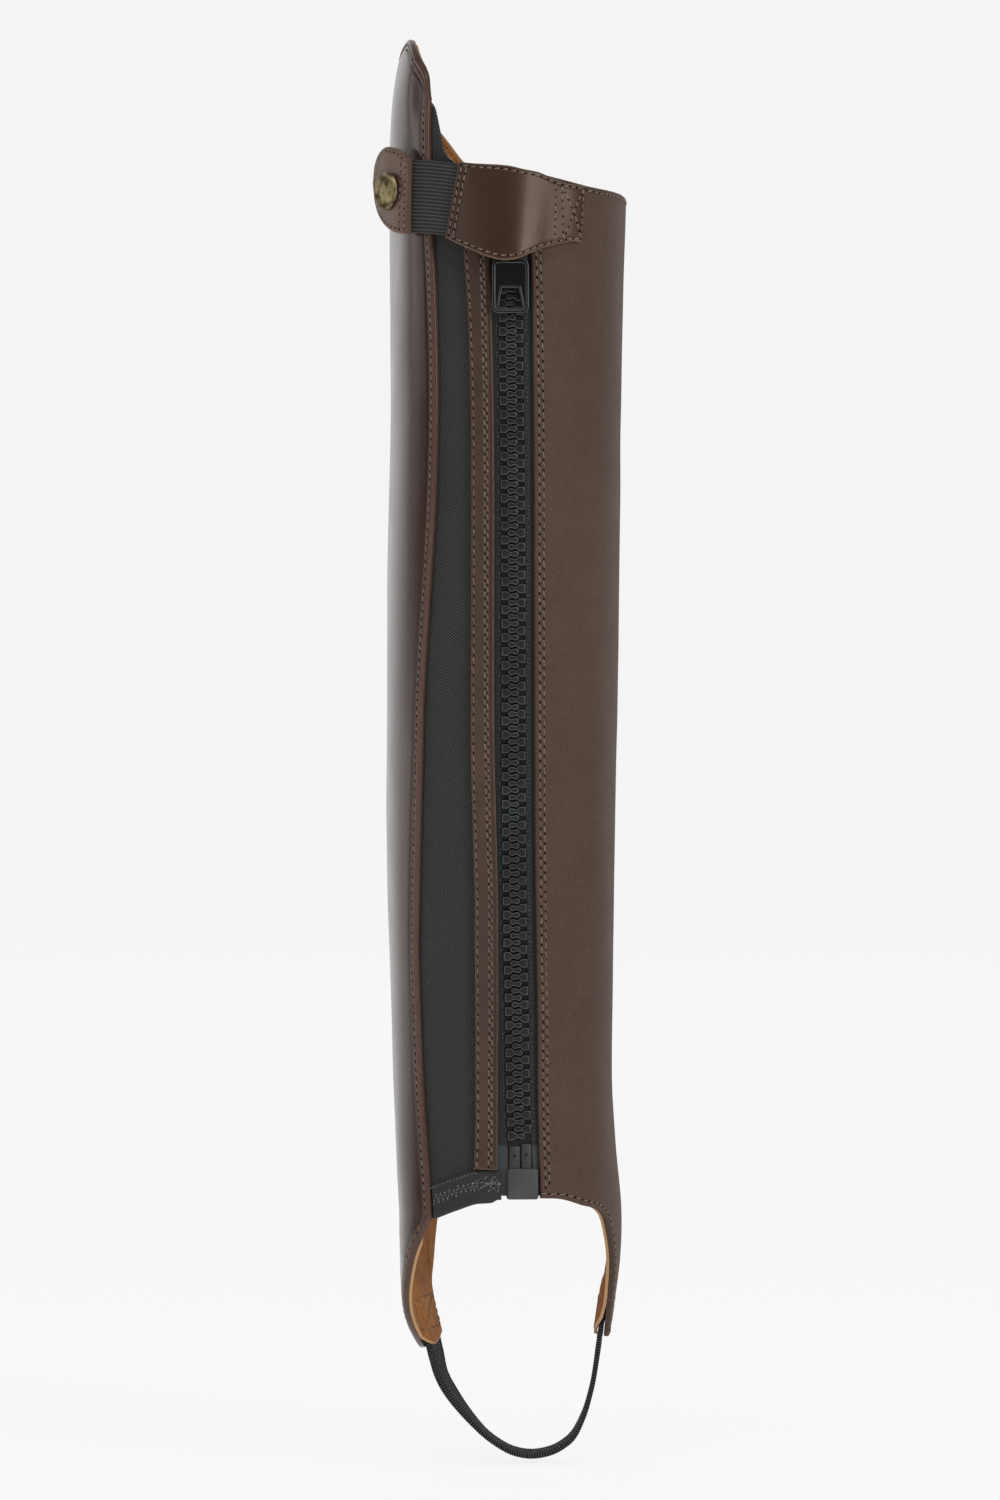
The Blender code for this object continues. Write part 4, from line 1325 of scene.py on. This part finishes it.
def make_slider():
    """Two wings, the post and the flanges between them, and the bridge that holds the pull."""
    shield = mirrored(SLIDER_HALF, SLIDER_NOTCH)
    bridge = plate(BRIDGE_ARCH, -BRIDGE_HALF, BRIDGE_HALF, 0.25)
    stand_up = Matrix(((0, 0, 1, 0), (1, 0, 0, 0), (0, 1, 0, 0), (0, 0, 0, 1)))
    bmesh.ops.transform(bridge, verts=bridge.verts[:], matrix=stand_up)
    wings = [plate(shield, low, high, 0.45) for low, high in SLIDER_WINGS]
    flanges = [box(centre=at, **SLIDER_FLANGE) for at in SLIDER_FLANGE_AT]
    whole = merge([*wings, box(**SLIDER_POST), *flanges, bridge], zip_frame(SLIDER_Z))
    dress("slider", whole, finish("moulded"), "zip_plastic", ["zip_slider"], smooth=35)


def trapezoid(top, bottom, top_half, bottom_half):
    """A trapezoid's outline, with as many points as an oblong's."""
    corners = [(bottom_half, bottom), (top_half, top), (-top_half, top), (-bottom_half, bottom)]
    points = []
    for (ax, ay), (bx, by) in zip(corners, corners[1:] + corners[:1]):
        shares = evenly(0, 1, CORNER_STEPS + 1)[:-1]
        points += [(ax + (bx - ax) * share, ay + (by - ay) * share) for share in shares]
    return points


def make_pull():
    """A flat plate with a raised rim, an eye at its top and a framed window."""
    edge, rim = oblong(**PULL_EDGE), oblong(**PULL_RIM)
    window, window_rim = trapezoid(**PULL_WINDOW), trapezoid(**PULL_WINDOW_RIM)
    parts = [
        ring(edge, window, -0.55, 0.15),
        # These two rims carry the pull's painted highlight in their paler second finish.
        mark_rim_highlights(ring(edge, rim, -0.6, 0.6, 0.3)),
        mark_rim_highlights(ring(window_rim, window, -0.6, 0.55, 0.25)),
        ring(PULL_NECK, PULL_EYE, -0.5, 0.5, 0.2),
    ]
    whole = merge(parts, zip_frame(SLIDER_Z) @ Matrix.Translation((0, 0, AXLE_OUT)))
    dress(
        "pull_plate", whole, finish("glossy_moulded"), "zip_plastic", ["zip_pull"], "pull", 35,
        finish("moulded_rim"),
    )


def make_zip_foot():
    """The box at the chain's foot, and the pin and the retainer that stand in it."""
    shell = plate(oblong(**BOX_EDGE), -BOX_HALF_THICK, BOX_HALF_THICK, 0.5, segments=3)
    aside = Matrix.Translation((BOX_ASIDE, 0, CHAIN_MIDDLE_OUT))
    whole = merge([shell], zip_frame(BOX_Z) @ aside)
    dress("pin_box", whole, finish("box_grey"), "zip_box", ["zip_box"])
    for name, node, left, right, top in zip(*BLOCKS.values()):
        edge = oblong((right - left) / 2, BLOCK_FOOT, top, 0.5)
        block = plate(edge, -BLOCK_HALF_THICK, BLOCK_HALF_THICK, 0.3)
        # A thin dark disc in the block's face, the shade of a small hollow: painted shade.
        dimple_shade = turned(DIMPLE_SHADE_PROFILE, 12)
        on_face = (0, top * 0.55, BLOCK_HALF_THICK)
        bmesh.ops.translate(dimple_shade, vec=on_face, verts=dimple_shade.verts[:])
        for face in dimple_shade.faces:
            face.material_index = 1
        aside = Matrix.Translation(((left + right) / 2, 0, CHAIN_MIDDLE_OUT))
        dress(
            name, merge([block, dimple_shade], zip_frame(BLOCK_BOTTOM) @ aside), finish("block_grey"),
            "zip_plastic", [node], smooth=35, second=finish("needle_hole"),
        )


def tab_spot(station, share, out):
    """A place on the closure tab: along it, from its lower to its upper edge, and outwards."""
    edge = read(CLOSURE, "angle_top", station)
    angle, z, rise = (
        edge[f"{name}_bottom"] + (edge[f"{name}_top"] - edge[f"{name}_bottom"]) * share
        for name in ("angle", "z", "rise")
    )
    return angle, z, rise + out


def tab_wave(station, share):
    """How far the tab's face stands out of its even shape."""
    return hide_wave(station, share * 30, 0.12)


def tab_height(station):
    """How tall the tab is there, in mm."""
    edge = read(CLOSURE, "angle_top", station)
    upper = place(edge["angle_top"], edge["z_top"])
    return (upper - place(edge["angle_bottom"], edge["z_bottom"])).length


def make_tab():
    first, last = TAB_ENDS
    columns = spread(first, last, 22, TAB_PER_MM, TAB_PER_MM)
    grid = []
    for station in columns:
        tall = tab_height(station)
        line = []
        for share in spread(0, 1, 12, 1 / tall, 1 / tall):
            left, right = (station - first) / TAB_PER_MM, (last - station) / TAB_PER_MM
            distance = min(left, right, share * tall, (1 - share) * tall)
            line.append((station, share, left, distance))
        grid.append(line)

    def spot(i, j, side):
        station, share, left, distance = grid[i][j]
        if side:
            return place(*tab_spot(station, share, 0.0))
        relief = (
            rounded(distance, 0.8, 0.6) + groove(distance, 1.2, 0.22, 0.35)
            + groove(left, 3.0, 0.22, 0.35) + tab_wave(station, share) - 0.02
        )
        return place(*tab_spot(station, share, LEATHER + relief))

    bm = wall(
        len(columns), len(grid[0]), spot,
        lambda i, j: (grid[i][j][2], grid[i][j][1] * TAB_TALL), lambda i, j: grid[i][j][3],
    )
    dress("tab", bm, finish("tab_leather"), "tab_leather", ["closure_tab"])


def make_webbing():
    pitch = bpy.context.scene.chap_sizes.rib_spacing / MM
    first, last = WEBBING_EDGES["angle"][0], WEBBING_EDGES["angle"][-1]
    columns = evenly(first, last, 30)
    rows = evenly(0, 1, 160)

    def to_edge(i, j):
        return min(rows[j], 1 - rows[j]) * WEBBING_WIDTH

    def spot(i, j, side):
        edge = read(WEBBING_EDGES, "angle", columns[i])
        z = edge["bottom"] + (edge["top"] - edge["bottom"]) * rows[j]
        rib = 0.11 * (math.cos(TAU * rows[j] * WEBBING_WIDTH / pitch) - 1)
        lift = WEBBING_THICK + rib + rounded(to_edge(i, j), 0.6, 0.4)
        return place(columns[i], z, WEBBING_GAP + (0.0 if side else lift))

    def flat(i, j):
        return (columns[i] - first) * WEBBING_DEGREE, rows[j] * WEBBING_WIDTH

    bm = wall(len(columns), len(rows), spot, flat, to_edge)
    dress("webbing", bm, finish("webbing"), "webbing", ["tab_webbing"])


def snap_spot(angle, share, out):
    """A place on the snap tab: round the leg, from its lower to its upper edge, and outwards."""
    edge = read(SNAP_TAB, "angle", angle)
    return angle, edge["bottom"] + (edge["top"] - edge["bottom"]) * share, edge["rise"] + out


def make_snap_tab():
    first, last = SNAP_TAB["angle"][0], SNAP_TAB["angle"][-1]
    columns = [first + (last - first) * (k / 40) ** 1.5 for k in range(41)]
    per_mm = 1 / SNAP_TAB_TALL
    rows = spread(0, 1, 8, per_mm, per_mm, (0, 0.15, 0.4, 0.8, 1.3, 1.9, 2.6))
    grid = []
    for angle in columns:
        edge = read(SNAP_TAB, "angle", angle)
        tall = edge["top"] - edge["bottom"]
        under_webbing = 0.8 * ease((angle - last + 3) / 3)
        line = []
        for share in rows:
            to_side = min(share, 1 - share) * tall
            to_tip = (angle - first) * SNAP_TAB_DEGREE + 1.5 * (0.5 - abs(share - 0.5))
            line.append((angle, share, min(to_side, to_tip) + under_webbing))
        grid.append(line)

    def spot(i, j, side):
        angle, share, distance = grid[i][j]
        if side:
            return place(*snap_spot(angle, share, 0.0))
        relief = rounded(distance, 0.8, 0.55) + groove(distance, 1.3, 0.2, 0.35) - 0.02
        return place(*snap_spot(angle, share, LEATHER + relief))

    def flat(i, j):
        return (columns[i] - first) * SNAP_TAB_DEGREE, rows[j] * SNAP_TAB_TALL

    bm = wall(len(columns), len(rows), spot, flat, lambda i, j: grid[i][j][2])
    # The snap tab's paler finish is painted light.
    dress("snap_end", bm, finish("snap_leather"), "tab_leather", ["snap_tab"])


def snap_frame():
    """A frame on the outer face of the snap tab, at the snap."""
    rise = read(SNAP_TAB, "angle", SNAP_ANGLE)["rise"]
    ahead, behind = (
        place(SNAP_ANGLE + step, SNAP_Z, read(SNAP_TAB, "angle", SNAP_ANGLE + step)["rise"])
        for step in (2, -2)
    )
    across = (ahead - behind).normalized()
    outward = across.cross(Vector((0, 0, 1))).normalized()
    turn = Matrix((across, outward.cross(across), outward)).transposed().to_4x4()
    return Matrix.Translation(place(SNAP_ANGLE, SNAP_Z, rise) + outward * LEATHER) @ turn, rise


def make_snap():
    at, rise = snap_frame()
    top, foot = -LEATHER - 0.65, -LEATHER - rise + 1.15
    stud = [(r, top + z) for r, z in STUD_HEAD] + [(r, foot + z) for r, z in STUD_FOOT]
    for name, profile, node in (("cap", CAP_PROFILE, "snap_cap"), ("stud", stud, "snap_stud")):
        dress(name, merge([turned(profile)], at), finish("old_brass"), "snap_brass", [node])


def catmull(points, per_span):
    """Points along a smooth curve through the given ones."""
    ends = [2 * points[0] - points[1], *points, 2 * points[-1] - points[-2]]
    found = []
    for a, b, c, d in zip(ends, ends[1:], ends[2:], ends[3:]):
        for k in range(per_span):
            s = k / per_span
            found.append(
                b + (c - a) * s / 2 + (a - b * 2.5 + c * 2 - d / 2) * s * s
                + (b * 1.5 - a / 2 + d / 2 - c * 1.5) * s ** 3
            )
    return [*found, points[-1]]


def strap_line(share):
    """The strap's middle along one of its lengthwise lines, from ear to ear."""
    depth = LEATHER + STRAP_GAP + STRAP_THICK / 2
    ends = {}
    for side, (first, last) in STRAP_ANGLES.items():
        angle = first + (last - first) * share
        heights = evenly(STRAP_TOP, STRAP_LEAVES[side], 10)
        ends[side] = [place(angle, z, -depth) for z in heights]
    aside = Vector((0, STRAP_WIDTH * (share - 0.5), 0))
    hung = [
        Vector((x, STRAP_Y, z)) + Matrix.Rotation(-math.radians(yaw), 3, "Z") @ aside
        for x, z, yaw in zip(*STRAP_ROUTE.values())
    ]
    free = catmull([ends["outer"][-1], *hung, ends["inner"][-1]], STRAP_SPAN_POINTS)
    return ends["outer"][:-1] + free + ends["inner"][-2::-1]


def make_strap():
    pitch = bpy.context.scene.chap_sizes.strap_rib / MM
    shares = [0, 0.012, 0.035, 0.08, 0.11, 0.125, 0.14, 0.2, 0.35, 0.5]
    shares += [1 - share for share in shares[-2::-1]]
    lines = [strap_line(share) for share in shares]
    middle = lines[len(lines) // 2]
    run = [0.0]
    for a, b in zip(middle, middle[1:]):
        run.append(run[-1] + (b - a).length)

    def to_edge(i, j):
        return min(shares[i], 1 - shares[i]) * STRAP_WIDTH

    def spot(i, j, side):
        before, after = lines[i][max(j - 1, 0)], lines[i][min(j + 1, len(run) - 1)]
        across = lines[min(i + 1, len(lines) - 1)][j] - lines[max(i - 1, 0)][j]
        outward = across.cross(after - before).normalized()
        distance = to_edge(i, j)
        flat = min(1.0, distance / 0.5)
        rib = 0.08 * (math.cos(TAU * run[j] / pitch) - 1) * (0.5 + 0.5 * flat)
        line = groove(distance, STRAP_LINE, 0.3, 0.3)
        half = STRAP_THICK / 2 * (0.85 + 0.15 * flat) + rib + line
        return lines[i][j] - outward * half * (1 if side else -1)

    bm = wall(len(shares), len(run), spot, lambda i, j: (shares[i] * STRAP_WIDTH, run[j]), to_edge)
    dress("strap", bm, finish("strap"), "strap_elastic", ["foot_strap"])


def make_stitching():
    leather_edge, front = COLUMNS["leather_edge"], COLUMNS["front_outer"]
    outer = Sewing()
    outer.row(seam_path(leather_edge, -2.2, -343, 30, -0.28), pitch=2.75, slant=20)
    outer.row(rim_path(TOP_RIM, -176, -46, -1.8, -0.15))
    outer.row(rim_path(TOP_RIM, -63, -50, -3.7, -0.2), slant=20)
    outer.row(rim_path(BOTTOM_RIM, -176, -34, 1.8, -0.15))
    outer.row(seam_path(front, 2.4, -327, 6, -0.1))
    outer.done("outer_stitches")

    inner = Sewing()
    for inset, shift in ((1.7, 0), (3.2, 1.6)):
        inner.row(seam_path(COLUMNS["panel_edge"], inset, -336 + shift, 2 + shift, -0.14))
    inner.row(rim_path(TOP_RIM, 34, 176, -1.6, -0.12))
    inner.row(rim_path(BOTTOM_RIM, 17, 176, 1.6, -0.12))
    inner.row(seam_path(COLUMNS["front_inner"], -2.4, -327, 6, -0.1))
    inner.done("inner_stitches")

    facing = Sewing()
    facing.row(seam_path(COLUMNS["strip_left"], 0.95, -330, 4, -0.22))
    for inset, shift in ((-3.0, 0), (-2.0, 1.5)):
        path = seam_path(COLUMNS["strip_right"], inset, -329 + shift, 3 + shift, -0.22)
        facing.row(path, pitch=3.0)
    facing.done("facing_stitches")


def tab_path(stops, lift=STITCH_LIFT):
    """Straight lines between places on the tab, each a station and a share of its height."""
    path = []
    for (a, low), (b, high) in zip(stops, stops[1:]):
        for station, share in zip(evenly(a, b, 12), evenly(low, high, 12)):
            out = LEATHER + tab_wave(station, share) + lift
            path.append(mark(*tab_spot(station, share, out)))
    return path


def snap_path(stops, lift=STITCH_LIFT):
    """Places on the snap tab, each an angle and a share of its height."""
    return [mark(*snap_spot(angle, share, LEATHER + lift)) for angle, share in stops]


def make_closure_stitching():
    sewing = Sewing()
    first, last = TAB_ENDS
    left, right = first + 1.3 * TAB_PER_MM, last - 1.3 * TAB_PER_MM
    cross_left, cross_right = last - 12.7 * TAB_PER_MM, last - 10.4 * TAB_PER_MM
    low, high = 0.045, 0.955
    for share in (high, low):
        sewing.row(tab_path([(s, share) for s in evenly(left, right, 10)]), pitch=2.8)
    for station in (left, first + 3.0 * TAB_PER_MM, right):
        sewing.row(tab_path([(station, low), (station, high)]), pitch=2.6)
    for station in (cross_left, cross_right):
        sewing.row(tab_path([(station, low), (station, high)], 0.0), pitch=2.6)
    for begins, ends in ((low, high), (high, low)):
        sewing.row(tab_path([(cross_right, begins), (right, ends)], 0.0), pitch=2.6)

    tip, end = SNAP_TAB["angle"][0] + 1.6, SNAP_TAB["angle"][-1] - 1.3
    upper, lower = [], []
    for k in range(15):
        angle = tip + (end - tip) * (k / 14) ** 1.4
        edge = read(SNAP_TAB, "angle", angle)
        share = min(0.45, 1.5 / (edge["top"] - edge["bottom"]) + 0.4 * math.exp(tip - angle))
        lower.append((angle, share))
        upper.append((angle, 1 - share))
    sewing.row(snap_path(lower[::-1] + upper), pitch=2.4)
    for angle in (end, end - 2.5):
        sewing.row(snap_path([(angle, s) for s in evenly(0.06, 0.94, 10)], -0.02), pitch=2.4)
    sewing.done("closure_stitches")


def sew_ears(sewing):
    """A crossed box in each ear over the strap's end, on the leather and on the lining."""

    def inside(angle, z):
        return -0.1 - lining_face(angle, z) - LINING_THICK

    for a, b, low, high in ((-78.0, -100.0, -388.5, -377.0), (88.5, 104.5, -388.0, -377.5)):
        box_and_slant = ((a, low), (a, high), (b, high), (b, low), (a, low), (b, high))
        lines = (box_and_slant, ((a, high), (b, low)))
        for line in lines:
            sewing.row(patch_path(line, -0.14), pitch=2.6)
        for line in lines:
            sewing.row(patch_path(line, inside, True), pitch=2.6, wide=0.5, holes=False)


def make_lining_stitching():
    sewing = Sewing()
    sew_ears(sewing)
    rim = lining_rim(TOP_RIM, -2.4)
    for first, last in ((-176, -46), (30, 176)):
        path = rim_path(rim, first, last, -1.0, -UNDER - LINING_THICK + 0.03)
        sewing.row(facing_in(path), wide=0.5)
    sewing.done("lining_stitches", kind="tan_thread")


def make_hem_stitching():
    """A loose zigzag along the hem, a row at its top and a tangle at its inner end."""
    zigzag = []
    for k in range(21):
        x = -22.6 + 0.78 * k + 0.5 * ripple(Vector((k, 3, 0)), 1.3)
        angle = angle_of(x, -336)
        middle = (read(HEM_BOTTOM, "angle", angle)["z"] + read(HEM_TOP, "angle", angle)["z"]) / 2
        zigzag.append((angle, middle + (2.4 if k % 2 else -1.2) + ripple(Vector((k, 0, 9)), 1.7)))
    tangle = [
        (angle_of(-6.6 + 0.25 * k, -334) + 9 * ripple(Vector((k, 0, 0)), 1.3),
         -334.6 + 6 * ripple(Vector((0, k, 5)), 1.7))
        for k in range(26)
    ]
    sewing = Sewing()
    for path, pitch in (
        (patch_path(zigzag, -0.45), 1.1), (rim_path(HEM_TOP, -42, -8, -0.9, -0.5), 1.3),
        (patch_path(tangle, -0.35), 1.1),
    ):
        sewing.row(path, pitch=pitch, wide=0.3, slant=0, holes=False)
    sewing.done("hem_zigzag", "hem_tape", "grey_thread")


# --- The stage ---

CAMERA_AT = (0.0, -2.572, -0.1886)
FLOOR_Z = -0.4335
BACKDROP = {"half": 7.0, "near": -8.0, "far": 6.5, "radius": 2.0, "top": 10.0}

# Each light's place and size in m, and its power in W.
LIGHTS = {
    "right_softbox": ((1.8, -2.12, 0.9), (1.0, 1.6), 26),
    "left_strip": ((-1.7, 0.9, 0.1), (0.7, 1.8), 1.2),
    "left_high": ((-1.85, 0.55, 0.3), (1.1, 0.35), 1.2),
    "left_fill": ((-1.8, -1.8, 0.5), (1.2, 1.6), 5),
    "overhead": ((0.1, -0.9, 1.7), (1.6, 0.9), 10),
}
LIT_POINT = (0.0, 0.0, -0.15)
SKY_COLOUR = (1.0, 0.97, 0.95, 1)
SKY_STRENGTH = 0.22


def make_lights():
    for name, (at, size, power) in LIGHTS.items():
        data = bpy.data.lights.new(name, "AREA")
        data.shape = "RECTANGLE"
        data.size, data.size_y = size
        data.energy = power
        made = bpy.data.objects.new(name, data)
        made.location = at
        made.rotation_euler = (Vector(LIT_POINT) - Vector(at)).to_track_quat("-Z", "Y").to_euler()
        bpy.context.scene.collection.objects.link(made)
    world = bpy.data.worlds.new("studio")
    world.use_nodes = True
    sky = world.node_tree.nodes["Background"].inputs
    sky["Color"].default_value, sky["Strength"].default_value = SKY_COLOUR, SKY_STRENGTH
    bpy.context.scene.world = world


def make_camera():
    data = bpy.data.cameras.new("camera")
    data.lens, data.sensor_width = 180, 36
    camera = bpy.data.objects.new("camera", data)
    camera.location = CAMERA_AT
    camera.rotation_euler = (math.pi / 2, 0, 0)
    bpy.context.scene.collection.objects.link(camera)
    bpy.context.scene.camera = camera


def make_backdrop():
    """A pale floor that bends up into a wall behind the chap."""
    near, far, radius = BACKDROP["near"], BACKDROP["far"], BACKDROP["radius"]
    bend = [
        (far - radius + math.sin(t) * radius, radius - math.cos(t) * radius)
        for t in evenly(0.1, math.pi / 2, 12)
    ]
    profile = [(near, 0.0), (far - radius, 0.0), *bend, (far, BACKDROP["top"])]
    bm = bmesh.new()
    verts = [bm.verts.new((-BACKDROP["half"], y, z + FLOOR_Z)) for y, z in profile]
    edges = [bm.edges.new(pair) for pair in zip(verts, verts[1:])]
    made = bmesh.ops.extrude_edge_only(bm, edges=edges)
    bmesh.ops.translate(bm, vec=(2 * BACKDROP["half"], 0, 0), verts=verts_in(made))
    bmesh.ops.recalc_face_normals(bm, faces=bm.faces[:])
    mesh = bpy.data.meshes.new("backdrop")
    bm.to_mesh(mesh)
    bm.free()
    mesh.shade_smooth()
    sweep = bpy.data.objects.new("backdrop", mesh)
    bpy.context.scene.collection.objects.link(sweep)
    mesh.materials.append(finish("backdrop"))


# --- The add-on ---


class ChapSizes(bpy.types.PropertyGroup):
    stitch_length: FloatProperty(
        name="Stitch length", description="From one needle hole to the next",
        default=3.3 * MM, min=1.5 * MM, max=5 * MM, unit="LENGTH",
    )
    thread_width: FloatProperty(
        name="Thread width", description="Width of the sewing thread",
        default=0.62 * MM, min=0.3 * MM, max=1 * MM, unit="LENGTH",
    )
    tooth_pitch: FloatProperty(
        name="Tooth pitch", description="From one zip tooth to the next on the same tape",
        default=4.65 * MM, min=4 * MM, max=6 * MM, unit="LENGTH",
    )
    rib_spacing: FloatProperty(
        name="Webbing ribs", description="From one rib of the webbing to the next",
        default=1.25 * MM, min=1 * MM, max=3 * MM, unit="LENGTH",
    )
    strap_rib: FloatProperty(
        name="Strap ribs", description="From one rib of the foot strap to the next",
        default=0.88 * MM, min=0.7 * MM, max=2 * MM, unit="LENGTH",
    )


def hue(name, colour):
    return FloatVectorProperty(
        name=name, description=f"Darkest tone of the {name.lower()}", subtype="COLOR",
        size=3, default=colour, min=0.0, max=1.0,
    )


class ChapHues(bpy.types.PropertyGroup):
    smooth_leather: hue("Smooth leather", (0.027, 0.013, 0.011))
    grained_leather: hue("Grained leather", (0.079, 0.051, 0.039))
    facing_leather: hue("Facing leather", (0.043, 0.025, 0.019))
    tab_leather: hue("Tab leather", (0.024, 0.0085, 0.0055))


class CHAP_OT_stage(bpy.types.Operator):
    """Sets the floor, the lights and the camera"""

    bl_idname = "chap.stage"
    bl_label = "Stage"

    def execute(self, context):
        context.scene.view_settings.view_transform = "Standard"
        make_camera()
        make_backdrop()
        make_lights()
        return {"FINISHED"}


class CHAP_OT_leathers(bpy.types.Operator):
    """Makes the smooth and the grained side"""

    bl_idname = "chap.leathers"
    bl_label = "Leather sides"

    def execute(self, context):
        make_leathers()
        return {"FINISHED"}


class CHAP_OT_linings(bpy.types.Operator):
    """Makes the suede linings"""

    bl_idname = "chap.linings"
    bl_label = "Linings"

    def execute(self, context):
        make_linings()
        return {"FINISHED"}


class CHAP_OT_gusset(bpy.types.Operator):
    """Makes the elastic gusset and its hem"""

    bl_idname = "chap.gusset"
    bl_label = "Elastic gusset"

    def execute(self, context):
        make_gusset()
        return {"FINISHED"}


class CHAP_OT_facing(bpy.types.Operator):
    """Makes the leather strip beside the zip"""

    bl_idname = "chap.facing"
    bl_label = "Facing strip"

    def execute(self, context):
        make_facing()
        return {"FINISHED"}


class CHAP_OT_tapes(bpy.types.Operator):
    """Makes the zip's woven tapes"""

    bl_idname = "chap.tapes"
    bl_label = "Zip tapes"

    def execute(self, context):
        make_tapes()
        return {"FINISHED"}


class CHAP_OT_teeth(bpy.types.Operator):
    """Makes the zip's moulded teeth"""

    bl_idname = "chap.teeth"
    bl_label = "Zip teeth"

    def execute(self, context):
        make_teeth()
        return {"FINISHED"}


class CHAP_OT_slider(bpy.types.Operator):
    """Makes the slider and its pull"""

    bl_idname = "chap.slider"
    bl_label = "Zip slider"

    def execute(self, context):
        make_slider()
        make_pull()
        return {"FINISHED"}


class CHAP_OT_zip_foot(bpy.types.Operator):
    """Makes the pin, the retainer and the box"""

    bl_idname = "chap.zip_foot"
    bl_label = "Zip foot"

    def execute(self, context):
        make_zip_foot()
        return {"FINISHED"}


class CHAP_OT_closure(bpy.types.Operator):
    """Makes the tab, its webbing and its end"""

    bl_idname = "chap.closure"
    bl_label = "Closure"

    def execute(self, context):
        make_tab()
        make_webbing()
        make_snap_tab()
        return {"FINISHED"}


class CHAP_OT_snap(bpy.types.Operator):
    """Makes the snap's cap and stud"""

    bl_idname = "chap.snap"
    bl_label = "Snap"

    def execute(self, context):
        make_snap()
        return {"FINISHED"}


class CHAP_OT_strap(bpy.types.Operator):
    """Makes the elastic foot strap"""

    bl_idname = "chap.strap"
    bl_label = "Foot strap"

    def execute(self, context):
        make_strap()
        return {"FINISHED"}


class CHAP_OT_stitching(bpy.types.Operator):
    """Sews the seams and edges"""

    bl_idname = "chap.stitching"
    bl_label = "Stitching"

    def execute(self, context):
        make_stitching()
        make_closure_stitching()
        return {"FINISHED"}


class CHAP_OT_ear_stitching(bpy.types.Operator):
    """Sews the ears, the lining and the hem"""

    bl_idname = "chap.ear_stitching"
    bl_label = "Lining stitching"

    def execute(self, context):
        make_lining_stitching()
        make_hem_stitching()
        return {"FINISHED"}


OPERATORS = [
    CHAP_OT_stage, CHAP_OT_leathers, CHAP_OT_linings, CHAP_OT_gusset, CHAP_OT_facing,
    CHAP_OT_tapes, CHAP_OT_teeth, CHAP_OT_slider, CHAP_OT_zip_foot, CHAP_OT_closure,
    CHAP_OT_snap, CHAP_OT_strap, CHAP_OT_stitching, CHAP_OT_ear_stitching,
]


class CHAP_PT_panel(bpy.types.Panel):
    bl_label = "Half chap"
    bl_idname = "CHAP_PT_panel"
    bl_space_type = "VIEW_3D"
    bl_region_type = "UI"
    bl_category = "Half chap"

    def draw(self, context):
        for values in (context.scene.chap_sizes, context.scene.chap_hues):
            for name in type(values).__annotations__:
                self.layout.prop(values, name)
        for made in OPERATORS:
            self.layout.operator(made.bl_idname)


CLASSES = [ChapSizes, ChapHues, *OPERATORS, CHAP_PT_panel]


def register():
    for made in CLASSES:
        bpy.utils.register_class(made)
    bpy.types.Scene.chap_sizes = PointerProperty(type=ChapSizes)
    bpy.types.Scene.chap_hues = PointerProperty(type=ChapHues)


def unregister():
    del bpy.types.Scene.chap_sizes
    del bpy.types.Scene.chap_hues
    for made in reversed(CLASSES):
        bpy.utils.unregister_class(made)


def main():
    register()
    for made in OPERATORS:
        getattr(bpy.ops.chap, made.bl_idname.removeprefix("chap."))()


if __name__ == "__main__":
    main()
